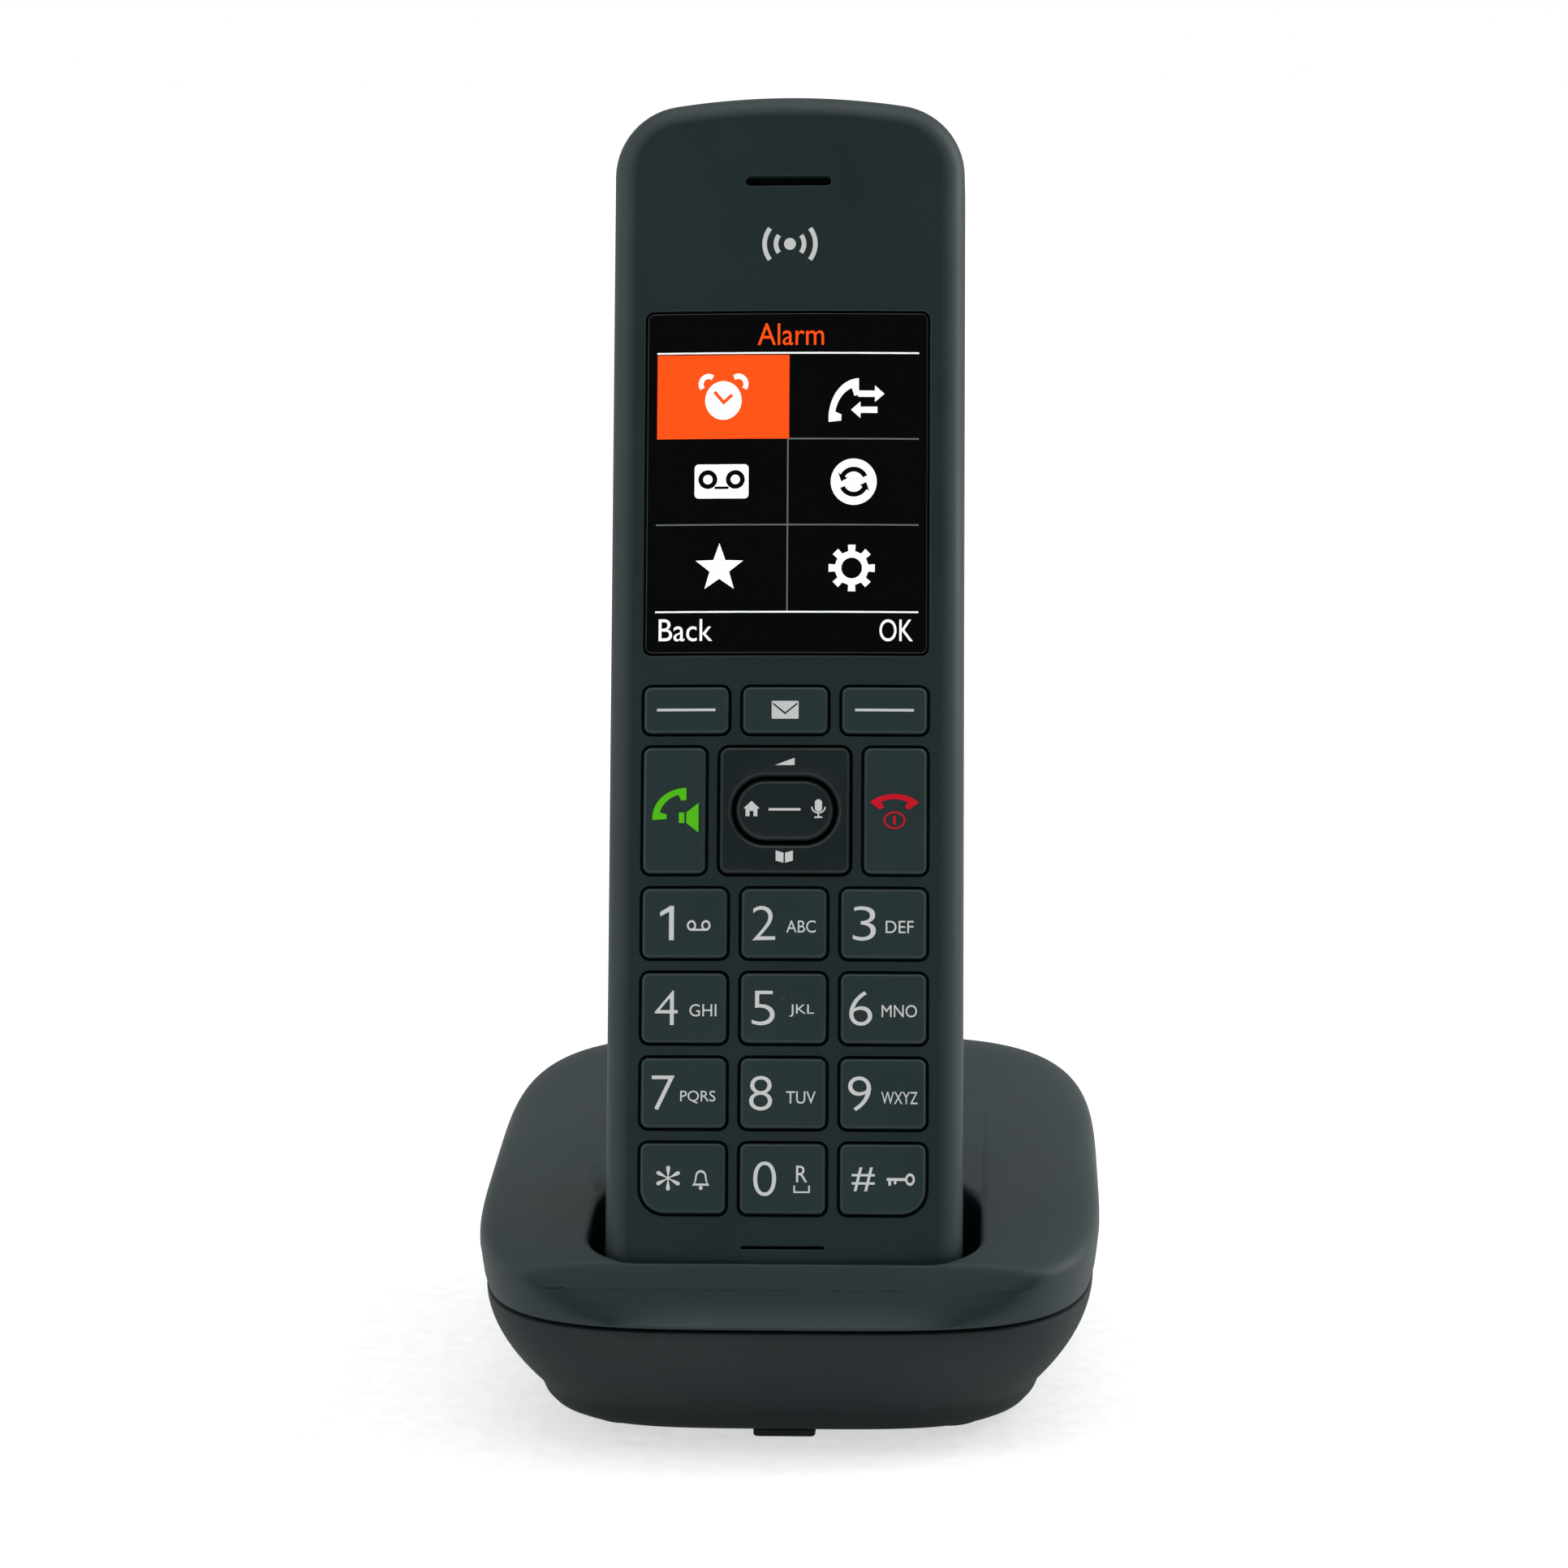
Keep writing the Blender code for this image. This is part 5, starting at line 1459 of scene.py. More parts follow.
    def build_rear(self) -> None:
        """The rear shell: round sides, battery opening, ringer slots, screw and pad holes."""
        rear = self.rear
        skin = rounded(-rear, 7.9 * MM, 14, below=True)
        skin += [(0.0, -0.45 * MM), (0.3 * MM, -0.15 * MM)]
        mesh = moulded(self.outline, skin)
        inside = -rear + self.wall
        hollow = moulded(lambda inset: self.outline(self.wall + inset, 6),
                         [(5.9 * MM, inside), (1.8 * MM, inside + 1.8 * MM), (0.0, inside + 6.0 * MM),
                          (0.0, self.wall)])
        y, width, height = self.COVER
        recess = moulded(box_shape(0.0, y, width + 2 * self.GAP, height + 2 * self.GAP, 3.3 * MM),
                         [(-0.2 * MM, -rear - MM), (-0.2 * MM, -rear), (0.0, -rear + 0.2 * MM),
                          (0.0, -rear + 1.8 * MM)])
        opening = moulded(box_shape(0.0, y, width - 3.0 * MM, height - 3.0 * MM, 1.5 * MM),
                          [(0.0, -rear + MM), (0.0, inside + 2.0 * MM)])
        slot = moulded(box_shape(0.0, 0.0, 12.0 * MM, 1.0 * MM, 0.48 * MM),
                       [(-0.25 * MM, -MM), (-0.25 * MM, 0.0), (0.0, 0.25 * MM), (0.0, 3.2 * MM)])
        slots = self.rows.repeat(slot, 5, (0.0, self.RINGER - 6.0 * MM, -rear), (0.0, 3.0 * MM, 0.0), BODY)
        cutters = [slots]
        for sign in (-1, 1):
            x, place = sign * self.SCREWS[0], self.SCREWS[1]
            cutters.append(moulded(disc_shape(x, place, 2.5 * MM),
                                   [(-0.3 * MM, -rear - MM), (-0.3 * MM, -rear + 0.35 * MM),
                                    (0.0, -rear + 0.7 * MM), (0.0, -rear + 1.9 * MM)]))
            cutters.append(moulded(box_shape(sign * CONTACT_X, 0.0, 5.6 * MM, 8.0 * MM, 0.2 * MM),
                                   [(0.0, -8.3 * MM), (0.0, -3.7 * MM)]))
        mesh = carved(mesh, hollow, recess, opening, joined(cutters))
        piece("handset_rear", mesh, BODY, "handset", HANDSET, ["handset_rear_shell"],
              34.0)
        self.build_screws()

    def build_screws(self) -> None:
        """The two screws of the rear shell, set by the point tree."""
        mesh = screw_head()
        mesh.transform(Matrix.Rotation(math.pi, 4, "Y"))
        places = [(sign * self.SCREWS[0], self.SCREWS[1], -self.rear + 1.85 * MM) for sign in (-1, 1)]
        mesh = PatternSetter().spread(mesh, places, STEEL)
        piece("handset_screws", mesh, STEEL, "handset", HANDSET,
              ["handset_screw_left", "handset_screw_right"])

    def build_ear(self) -> None:
        """The fine cloth behind the earpiece slot, and the foam behind the microphone's."""
        y, width, height = self.EAR
        bead = moulded(disc_shape(0.0, 0.0, 0.16 * MM, 6), [(0.0, -0.1 * MM), (0.08 * MM, 0.1 * MM)])
        weave = self.rows.repeat(bead, 30, (-width / 2, 0.0, 0.0), (width / 29, 0.0, 0.0), STEEL)
        lines = self.rows.repeat(weave, 5, (0.0, y - height * 0.4, 9.0 * MM), (0.0, height * 0.2, 0.0),
                                 STEEL)
        plate = moulded(box_shape(0.0, y, width, height + MM, 0.4 * MM),
                        [(0.0, 8.6 * MM), (0.0, 8.95 * MM)])
        piece("earpiece_cloth", joined([lines, plate]), FOAM, "handset", HANDSET)
        y, width, height = self.MIC
        pad = moulded(box_shape(0.0, y, width + MM, height + 1.2 * MM, 0.3 * MM),
                      [(0.2 * MM, 8.5 * MM), (0.0, 8.6 * MM), (0.0, 8.85 * MM), (0.2 * MM, 8.95 * MM)])
        piece("microphone_foam", pad, FOAM, "handset", HANDSET)

    def build_pads(self) -> None:
        """The two charge pads in the lower end, slightly domed and gilded."""
        for side, sign in (("left", -1), ("right", 1)):
            shape = box_shape(0.0, 0.0, 5.0 * MM, 4.0 * MM, 0.4 * MM)
            mesh = moulded(shape, [(0.0, 0.0), *rounded(2.6 * MM, 0.35 * MM, 4)])
            moved(mesh, turn=(math.pi / 2, "X"))
            moved(mesh, sign * CONTACT_X, 2.9 * MM, -6.0 * MM)
            piece(f"charge_pad_{side}_plate", mesh, GOLD, "handset", HANDSET, [f"charge_pad_{side}"])

    def build(self) -> None:
        """Make the shells, window, battery and small pieces."""
        self.build_front()
        self.build_rear()
        self.build_ear()
        self.build_pads()
        self.keypad.build()
        Display(*self.WINDOW).build()
        Battery(self.rows).build()


def screw_head() -> bpy.types.Mesh:
    """A pan head with a cross recess, its face towards +Z and its underside at Z = 0."""
    head = moulded(disc_shape(0.0, 0.0, 2.1 * MM, 28), [(0.0, 0.0), *rounded(1.3 * MM, 0.5 * MM, 5)])
    bars = [moulded(box_shape(0.0, 0.0, width, height, 0.1 * MM, 2),
                    [(0.22 * MM, 0.45 * MM), (0.0, 1.1 * MM), (0.0, 2.0 * MM)])
            for width, height in ((2.4 * MM, 0.55 * MM), (0.55 * MM, 2.4 * MM))]
    return carved(head, *bars)


@dataclass
class Display:
    """The black window with the menu that shows through it.

    Attributes:
        middle: its middle along the handset.
        width: its width.
        height: its height.
    """

    middle: float
    width: float
    height: float

    TOP = 10.9 * MM
    SCALE = 1.0 / 9.17 * MM
    CENTRE = (968.5, 600.5)

    def at(self, what: Icon | str, left: float, right: float, top: float, bottom: float) -> Mark:
        """A mark placed by the menu's own grid, which runs right and down.

        Args:
            what: the icon or the letters.
            left: its left edge.
            right: its right edge.
            top: its upper edge.
            bottom: its lower edge.

        Returns:
            The mark.
        """
        return Mark(what, ((left + right) / 2 - self.CENTRE[0]) * self.SCALE,
                    self.middle - ((top + bottom) / 2 - self.CENTRE[1]) * self.SCALE,
                    (right - left) * self.SCALE, (bottom - top) * self.SCALE)

    def build(self) -> None:
        """Make the window and its menu."""
        shape = box_shape(0.0, self.middle, self.width, self.height, 0.9 * MM)
        mesh = moulded(shape, [(0.0, self.TOP - 0.9 * MM), *rounded(self.TOP, 0.22 * MM, 4, stop=84.0)])
        sliced(mesh, -18.0 * MM, 18.0 * MM, 1.5 * MM)
        piece("display_window_plate", CROWN.bend(mesh), WINDOW, "handset", HANDSET, ["display_window"],
              40.0, crowned=True)
        level = self.TOP
        marks("menu_title", "handset", LIT_ORANGE, level, self.at("Alarm", 932, 1013, 404, 431))
        marks("menu_tile", "handset", LIT_ORANGE, level - 0.012 * MM, *[
            self.at(Icon.TILE, 809.5, 971, 443, 546.5)])
        icons = [self.at(Icon.CLOCK, 860, 921, 466, 523), self.at(Icon.CALLS, 1019, 1087, 472, 526),
                 self.at(Icon.TAPE, 856, 922, 578, 620), self.at(Icon.CYCLE, 1022, 1078, 571, 628),
                 self.at(Icon.STAR, 858, 916, 675, 731), self.at(Icon.GEAR, 1020, 1076, 677, 734),
                 self.at("Back", 813.5, 879, 768, 795), self.at("OK", 1082, 1122.5, 768, 795)]
        marks("menu_pictures", "handset", LIT_WHITE, level + 0.012 * MM, *icons)
        white = [self.at(Icon.TILE, 809, 1129, y - 1, y + 1) for y in (440.6, 759.2)]
        marks("menu_rules", "handset", LIT_WHITE, level + 0.004 * MM, *white)
        grey = [self.at(Icon.TILE, left, right, top, bottom) for left, right, top, bottom in
                ((971, 1129, 545.6, 547.4), (809, 1129, 651.4, 653.2), (968.8, 970.6, 547, 758.5))]
        marks("menu_grid", "handset", LIT_GREY, level, *grey)
        marks("signal_mark", "handset", INK, 10.99 * MM,
              Mark(Icon.SIGNAL, 0.25 * MM, 141.8 * MM, 7.4 * MM, 4.6 * MM))


@dataclass
class Battery:
    """The two cells, their springs, and the cover over them.

    Attributes:
        rows: the tree that repeats a pattern in a row.
        radius: a cell's radius.
        length: a cell's length.
    """

    rows: PatternRow
    radius: float = 5.25 * MM
    length: float = 43.5 * MM

    def build_cell(self, name: str) -> None:
        """One cell: a wrapped can with a steel nub.

        Args:
            name: the CAD node's name.
        """
        middle = HANDSET.centre(name)
        sign = 1 if name == "battery_2" else -1
        half = self.length / 2
        can = moulded(disc_shape(0.0, 0.0, self.radius, 40),
                      [*rounded(-half, 0.5 * MM, 4, below=True), *rounded(half, 0.5 * MM, 4)])
        band = moulded(disc_shape(0.0, 0.0, self.radius + 0.03 * MM, 40),
                       [(0.0, half - 12.0 * MM), (0.0, half - 1.2 * MM)])
        nub = moulded(disc_shape(0.0, 0.0, 1.9 * MM, 20),
                      [(0.0, half - 0.1 * MM), *rounded(half + 0.95 * MM, 0.3 * MM, 3)])
        for piece_name, mesh, finish in ((f"{name}_can", can, WRAP), (f"{name}_band", band, WRAP_BAND),
                                         (f"{name}_nub", nub, STEEL)):
            moved(mesh, turn=(-sign * math.pi / 2, "X"))
            moved(mesh, middle.x, middle.y - sign * 0.5 * MM, middle.z)
            piece(piece_name, mesh, finish, "handset", HANDSET, [name] if finish is WRAP else ())

    def build_springs(self) -> None:
        """A wound spring at each cell's flat end, on the end plates."""
        coil = Coil()
        for name, sign in (("battery_contact_low", 1), ("battery_contact_high", -1)):
            middle = HANDSET.centre(name)
            mesh = coil.wind(2.5, 3.0 * MM, 1.6 * MM, 0.55 * MM)
            moved(mesh, turn=(-sign * math.pi / 2, "X"))
            moved(mesh, sign * 5.45 * MM, middle.y + sign * 0.2 * MM, middle.z)
            piece(f"{name}_spring", mesh, STEEL, "handset", HANDSET, angle=60.0)

    def build_cover(self) -> None:
        """The cover: a flat plate with soft edges, grip grooves and a thumb notch."""
        y, width, height = Handset.COVER
        low = -14.0 * MM
        shape = box_shape(0.0, y, width, height, 3.0 * MM)
        mesh = moulded(shape, [*rounded(low, 0.35 * MM, 4, below=True), (0.0, low + 1.5 * MM)])
        notch = moulded(box_shape(0.0, y + height / 2, 10.0 * MM, 3.0 * MM, 1.0 * MM),
                        [(-0.3 * MM, low - MM), (-0.3 * MM, low), (0.0, low + 0.3 * MM),
                         (0.0, low + 0.75 * MM)])
        groove = moulded(box_shape(0.0, 0.0, 12.0 * MM, 0.8 * MM, 0.38 * MM),
                         [(-0.2 * MM, -MM), (-0.2 * MM, 0.0), (0.0, 0.2 * MM), (0.1 * MM, 0.35 * MM)])
        grooves = self.rows.repeat(groove, 6, (0.0, y + 12.0 * MM, low), (0.0, 1.9 * MM, 0.0), BODY)
        mesh = carved(mesh, notch, grooves)
        piece("battery_cover_plate", mesh, BODY, "battery_cover", HANDSET, ["battery_cover"],
              34.0)

    def build(self) -> None:
        """Make the cells, springs and cover."""
        for name in ("battery_1", "battery_2"):
            self.build_cell(name)
        self.build_springs()
        self.build_cover()


# ---- the cradle --------------------------------------------------------------------------
@dataclass
class Cradle:
    """The charging cradle: a crowned upper shell with the pocket, and a bowl under it.

    Attributes:
        half_x: half of its width.
        half_y: half of its depth.
        squareness: exponent of the plan.
        seam: height of the seam between its shells.
        tuck: how far the seam lies inside the widest line.
        count: points in each ring.
    """

    half_x: float = 42.0 * MM
    half_y: float = 47.98 * MM
    squareness: float = 4.1
    seam: float = 17.3 * MM
    tuck: float = 0.8 * MM
    count: int = 300
    angles: list[float] = field(default_factory=list)

    WIDE = (6.9 * MM, 0.05)
    CROWN_RISE = (6.00 * MM, 0.0730)
    FULLNESS = 0.168
    FLATNESS = 0.55
    SLOPE = math.tan(math.radians(51.0))
    SOFT = 0.9 * MM
    BOWL = (6.8 * MM, 1.7)
    FLOOR = 1.2 * MM
    BOTTOM_ROUND = 3.0 * MM
    NOTCH = (17.0 * MM, 36.0 * MM, 13.0 * MM)
    FEET = ("foot_front_left", "foot_front_right", "foot_rear_left", "foot_rear_right")
    BOLTS = tuple(f"base_screw_{index}" for index in range(1, 5))
    WALL = 2.0 * MM
    CLEAR = 60.0 * MM
    RIM_ROUND = 1.0 * MM
    PROBE = 1.2 * MM
    SOCKET_HEIGHT = 8.4 * MM

    def __post_init__(self) -> None:
        """Space the plan's points evenly along it."""
        fine = 4000
        spots = [self.plan_point(2 * math.pi * k / fine, self.half_x, self.half_y) for k in range(fine + 1)]
        run = [0.0]
        for before, after in zip(spots, spots[1:]):
            run.append(run[-1] + math.dist(before, after))
        at = 0
        for index in range(self.count):
            while run[at + 1] < run[-1] * index / self.count:
                at += 1
            part = (run[-1] * index / self.count - run[at]) / (run[at + 1] - run[at])
            self.angles.append(2 * math.pi * (at + part) / fine)

    def plan_point(self, angle: float, half_x: float, half_y: float) -> Point:
        """A point of a superellipse."""
        cosine, sine, power = math.cos(angle), math.sin(angle), 2.0 / self.squareness
        return (math.copysign(abs(cosine) ** power * half_x, cosine),
                math.copysign(abs(sine) ** power * half_y, sine))

    def plan(self, half_x: float, half_y: float) -> Outline:
        """The plan at a size."""
        return [self.plan_point(angle, half_x, half_y) for angle in self.angles]

    def faceted(self, y: float, height: float) -> float:
        """A point's Y once the flat front has cut it, with a soft ridge."""
        front = -self.half_y + self.tuck + (height - self.seam) / self.SLOPE
        return (y + front + math.sqrt((y - front) ** 2 + self.SOFT ** 2)) / 2

    def ring(self, tuck: float, height: float, cut: bool = False) -> list[tuple[float, float, float]]:
        """A level ring of the plan, moved in by a tuck."""
        points = self.plan(self.half_x - tuck, self.half_y - tuck)
        return [(x, self.faceted(y, height) if cut else y, height) for x, y in points]

    def crown_rings(self, inset: float, levels: int) -> list[list[tuple[float, float, float]]]:
        """The upper shell's rings from its widest line to its crown.

        Args:
            inset: how far they are moved in.
            levels: how many.

        Returns:
            The rings.
        """
        rings = []
        for level in range(levels):
            angle = math.radians(84.0) * (level / (levels - 1)) ** 1.35
            shrink, rise = math.cos(angle) ** self.FULLNESS, math.sin(angle) ** self.FLATNESS
            ring = []
            for x, y in self.plan((self.half_x - inset) * shrink, (self.half_y - inset) * shrink):
                wide = self.seam + self.WIDE[0] + self.WIDE[1] * y
                height = wide + (self.CROWN_RISE[0] - inset + self.CROWN_RISE[1] * y) * rise
                ring.append((x, self.faceted(y, height) + inset * 1.3 * (y < 0), height))
            rings.append(ring)
        return rings

    def build_upper(self) -> None:
        """The upper shell with the pocket, whose rim is rounded."""
        seam = self.seam + 0.15 * MM
        side = [(self.tuck + 0.35 * MM, 0.0), (self.tuck + 0.08 * MM, 0.18 * MM), (self.tuck, 0.5 * MM)]
        lower = [self.ring(tuck, seam + rise) for tuck, rise in side]
        for share in (0.25, 0.5, 0.75):
            lower.append(self.ring(self.tuck * (1 - share) ** 1.6, self.seam + self.WIDE[0] * share, True))
        outer = loft([*lower, *self.crown_rings(0.0, 34)])
        rim = self.rim_cutter(outer)
        wall = self.WALL
        inside = loft([self.ring(self.tuck + wall, seam - wall),
                       self.ring(self.tuck + wall, seam + 2.0 * MM),
                       *self.crown_rings(wall, 7)])
        skirt = self.pocket_shape(1.6 * MM)
        foot = -1.9 * MM
        tub = self.seated(moulded(skirt, [(0.0, foot), (0.0, self.CLEAR)]))
        mesh = carved(outer, carved(inside, tub))
        under = self.seated(moulded(skirt, [(0.0, foot), (0.0, 12.0 * MM)]))
        above = moulded(box_shape(0.0, 0.0, 120.0 * MM, 120.0 * MM, MM, 2),
                        [(0.0, self.seam + 0.8 * MM), (0.0, 90.0 * MM)])
        mesh = carved(mesh, carved(under, above), add=True)
        slots = [moulded(box_shape(sign * CONTACT_X, 6.0 * MM, 2.8 * MM, 4.0 * MM, 0.5 * MM),
                         [(0.0, -4.0 * MM), (0.0, MM)]) for sign in (-1, 1)]
        mesh = carved(mesh, rim, self.seated(joined(slots)))
        piece("cradle_upper", mesh, BODY, "base", CRADLE, ["base_top_shell"], 40.0)

    def seated(self, mesh: bpy.types.Mesh) -> bpy.types.Mesh:
        """Take a mesh from the seat's frame to the cradle's.

        Args:
            mesh: the mesh.

        Returns:
            The same mesh.
        """
        mesh.transform(SEAT.matrix())
        mesh.transform(CRADLE.matrix().inverted())
        return mesh

    def pocket_shape(self, grow: float) -> Shape:
        """The pocket's outline round the handset's section.

        Args:
            grow: distance that the outline lies outside the pocket.

        Returns:
            The shape.
        """
        corners = [7.0 * MM + grow, 7.0 * MM + grow, 10.0 * MM + grow, 10.0 * MM + grow]
        front, back = -11.7 * MM, 14.9 * MM
        return box_shape(0.0, (front + back) / 2, 51.6 * MM + 2 * grow, 26.6 * MM + 2 * grow, corners, 12)

    def rim_cutter(self, outer: bpy.types.Mesh) -> bpy.types.Mesh:
        """The pocket's cutter, which flares to round the rim along the shell's own surface.

        Args:
            outer: the shell's outer solid.

        Returns:
            The cutter, in the cradle's frame.
        """
        to_cradle = CRADLE.matrix().inverted() @ SEAT.matrix()
        tree = BVHTree.FromPolygons([vertex.co[:] for vertex in outer.vertices],
                                    [face.vertices[:] for face in outer.polygons])
        down = to_cradle.to_3x3() @ Vector((0.0, 0.0, -1.0))
        reach, probe = self.RIM_ROUND, self.PROBE
        inner, outside = resample(self.pocket_shape(0.0)(0.0), 1.6 * MM), []
        normals = []
        for index, (x, y) in enumerate(inner):
            before, after = inner[index - 1], inner[(index + 1) % len(inner)]
            along = (Vector(after) - Vector(before)).normalized()
            normals.append(Vector((along.y, -along.x)))
            outside.append((x + along.y * probe, y - along.x * probe))

        def surface(x: float, y: float) -> float:
            """Height of the shell over a point of the seat.

            Args:
                x: the point in the seat's frame.
                y: the point in the seat's frame.

            Returns:
                The height in the seat's frame.
            """
            start = to_cradle @ Vector((x, y, 0.1))
            hit = tree.ray_cast(start, down)[0]
            return (to_cradle.inverted() @ hit).z

        heights = [(surface(*here), surface(*there)) for here, there in zip(inner, outside)]
        rings = []
        floor = -0.3 * MM
        for inset, rise in ((1.0 * MM, 0.0), (0.3 * MM, 0.3 * MM), (0.0, 1.0 * MM)):
            rings.append([(x - n.x * inset, y - n.y * inset, floor + rise)
                          for (x, y), n in zip(inner, normals)])
        for step in range(8):
            u = step / 7
            ring = []
            for (x, y), normal, (here, there) in zip(inner, normals, heights):
                tilt = Vector((probe, there - here)).normalized()
                out = u * u * tilt.x * reach
                up = (1 - u) ** 2 * (here - reach) + 2 * u * (1 - u) * here + u * u * (here + tilt.y * reach)
                ring.append((x + normal.x * out, y + normal.y * out, up))
            rings.append(ring)
        last = rings[-1]
        rings.append([(x + n.x * 0.25 * MM, y + n.y * 0.25 * MM, z + 0.3 * MM)
                      for (x, y, z), n in zip(last, normals)])
        rings.append([(x, y, self.CLEAR) for x, y, _ in rings[-1]])
        mesh = loft(rings)
        mesh.transform(to_cradle)
        return mesh

    def build_lower(self) -> None:
        """The lower shell: a bowl with a notch for the sockets, and recesses under it."""
        rings = [self.ring(self.tuck + self.BOWL[0] + self.BOTTOM_ROUND, self.FLOOR)]
        for angle in (20, 40, 60, 75):
            share = math.sin(math.radians(angle)), 1 - math.cos(math.radians(angle))
            rings.append(self.ring(self.tuck + self.BOWL[0] + self.BOTTOM_ROUND * (1 - share[0]) * 0.97,
                                   self.FLOOR + self.BOTTOM_ROUND * share[1]))
        span = self.seam - 0.15 * MM - self.FLOOR - self.BOTTOM_ROUND
        for level in range(14):
            share = level / 13
            tuck = self.tuck + self.BOWL[0] * (1 - share) ** self.BOWL[1]
            height = self.FLOOR + self.BOTTOM_ROUND + (span - 0.45 * MM) * share
            rings.append(self.ring(tuck, height))
        top = self.seam - 0.15 * MM
        rings += [self.ring(self.tuck + 0.06 * MM, top - 0.16 * MM), self.ring(self.tuck + 0.32 * MM, top)]
        mesh = loft(rings)
        wall = self.WALL
        hollow = [self.ring(self.tuck + self.BOWL[0] + self.BOTTOM_ROUND + wall, self.FLOOR + wall),
                  self.ring(self.tuck + self.BOWL[0] + wall, self.FLOOR + wall + 2.0 * MM),
                  self.ring(self.tuck + wall + 1.6 * MM, 10.0 * MM), self.ring(self.tuck + wall, top + wall)]
        half, wall_y, notch_top = self.NOTCH
        keep = moulded(box_shape(0.0, 59.0 * MM, 2 * (half + wall), 50.0 * MM, 0.1 * MM, 1),
                       [(0.0, 0.0), (0.0, notch_top + wall)])
        inside = carved(loft(hollow), keep)
        notch = moulded(box_shape(0.0, wall_y + 25.0 * MM, 2 * half, 50.0 * MM, 1.2 * MM, 4),
                        [(0.0, -MM), (0.0, notch_top - 0.6 * MM), (0.2 * MM, notch_top - 0.2 * MM),
                         (0.6 * MM, notch_top)])
        holes = []
        for x, width in ((-9.4 * MM, 9.7 * MM), (3.4 * MM, 7.7 * MM), (12.6 * MM, 5.7 * MM)):
            tall = 5.8 * MM if width > 6.0 * MM else 4.7 * MM
            mouth = moulded(box_shape(0.0, 0.0, width, tall, 0.5 * MM, 3),
                            [(0.0, -6.0 * MM), (0.0, -0.2 * MM), (-0.2 * MM, 0.0), (-0.2 * MM, MM)])
            moved(mouth, turn=(-math.pi / 2, "X"))
            holes.append(moved(mouth, x, wall_y, self.SOCKET_HEIGHT))
        under = [moulded(disc_shape(*self.middle(name), 4.8 * MM), [(0.0, -MM), (0.0, 2.2 * MM)])
                 for name in self.FEET]
        sink = [(-0.3 * MM, -MM), (-0.3 * MM, self.FLOOR), (0.0, self.FLOOR + 0.3 * MM), (0.0, 3.2 * MM)]
        under += [moulded(disc_shape(*self.middle(name), 2.5 * MM), sink) for name in self.BOLTS]
        mesh = carved(mesh, inside, notch, joined(holes), joined(under))
        piece("cradle_lower", mesh, LOWER, "base", CRADLE, ["base_bottom_shell"], 36.0)

    def middle(self, node: str) -> Point:
        """The middle of a CAD node in the cradle's frame, seen from above."""
        return tuple(CRADLE.centre(node).xy)

    def build_underside(self) -> None:
        """Rubber feet with moulded rings, the screws and the front tab."""
        setter = PatternSetter()
        shape = disc_shape(0.0, 0.0, 4.5 * MM, 40)
        sole: Profile = [(1.9 * MM, 0.0), (1.7 * MM, 0.18 * MM), (1.4 * MM, 0.18 * MM), (1.2 * MM, 0.0),
                         (0.45 * MM, 0.0), (0.12 * MM, 0.14 * MM), (0.0, 0.4 * MM), (0.0, 1.9 * MM)]
        places = [(*self.middle(name), 0.0) for name in self.FEET]
        mesh = setter.spread(moulded(shape, sole), places, RUBBER)
        piece("cradle_feet", mesh, RUBBER, "base", CRADLE, self.FEET)
        head = screw_head()
        head.transform(Matrix.Rotation(math.pi, 4, "X"))
        mesh = setter.spread(head, [(*self.middle(name), 3.1 * MM) for name in self.BOLTS], STEEL)
        piece("cradle_screws", mesh, STEEL, "base", CRADLE, self.BOLTS)
        x, y = self.middle("base_front_tab")
        tab = moulded(box_shape(x, y, 8.2 * MM, 9.0 * MM, 0.7 * MM),
                      [*rounded(0.0, 0.25 * MM, 3, below=True), (0.0, 0.95 * MM)])
        piece("cradle_tab", tab, LOWER, "base", CRADLE, ["base_front_tab"])

    def build_sockets(self) -> None:
        """The two sockets with their sprung wires, and the paging key beside them."""
        rows = PatternRow()
        for name, x, width, wires in (("line_jack", -9.4, 9.7, 6), ("power_jack", 3.4, 7.7, 4)):
            shape = box_shape(0.0, 0.0, (width + 2.6) * MM, 8.4 * MM, 0.4 * MM, 3)
            block = moulded(shape, [(0.0, 0.0), *rounded(11.0 * MM, 0.25 * MM, 3)])
            mouth = moulded(box_shape(0.0, 0.0, width * MM, 5.8 * MM, 0.3 * MM, 3),
                            [(0.0, 1.3 * MM), (0.0, 10.7 * MM), (-0.3 * MM, 11.0 * MM),
                             (-0.3 * MM, 12.0 * MM)])
            block = carved(block, mouth)
            moved(block, turn=(-math.pi / 2, "X"))
            moved(block, x * MM, 22.7 * MM, self.SOCKET_HEIGHT)
            piece(f"{name}_block", block, SOCKET, "base", CRADLE, [name])
            wire = loft([[(a, b, z) for a, b in disc(0.0, 0.12 * MM * bend, 0.2 * MM, 8)]
                         for bend, z in ((0, 0.0), (-2, 2.0 * MM), (-6, 5.0 * MM), (-9, 7.0 * MM),
                                         (-8, 8.6 * MM))])
            moved(wire, turn=(-math.pi / 2, "X"))
            pitch = 1.02 * MM if wires == 6 else 1.4 * MM
            start = (x * MM - pitch * (wires - 1) / 2, 24.0 * MM, 9.9 * MM)
            mesh = rows.repeat(wire, wires, start, (pitch, 0.0, 0.0), GOLD)
            piece(f"{name}_wires", mesh, GOLD, "base", CRADLE, angle=60.0)
        cap = moulded(box_shape(0.0, 0.0, 5.0 * MM, 4.0 * MM, 0.8 * MM),
                      [(0.0, 0.0), *rounded(4.4 * MM, 0.45 * MM, 5)])
        dimple = moulded(disc_shape(0.0, 0.0, 1.1 * MM, 24), [(0.5 * MM, 4.25 * MM), (0.0, 4.5 * MM)])
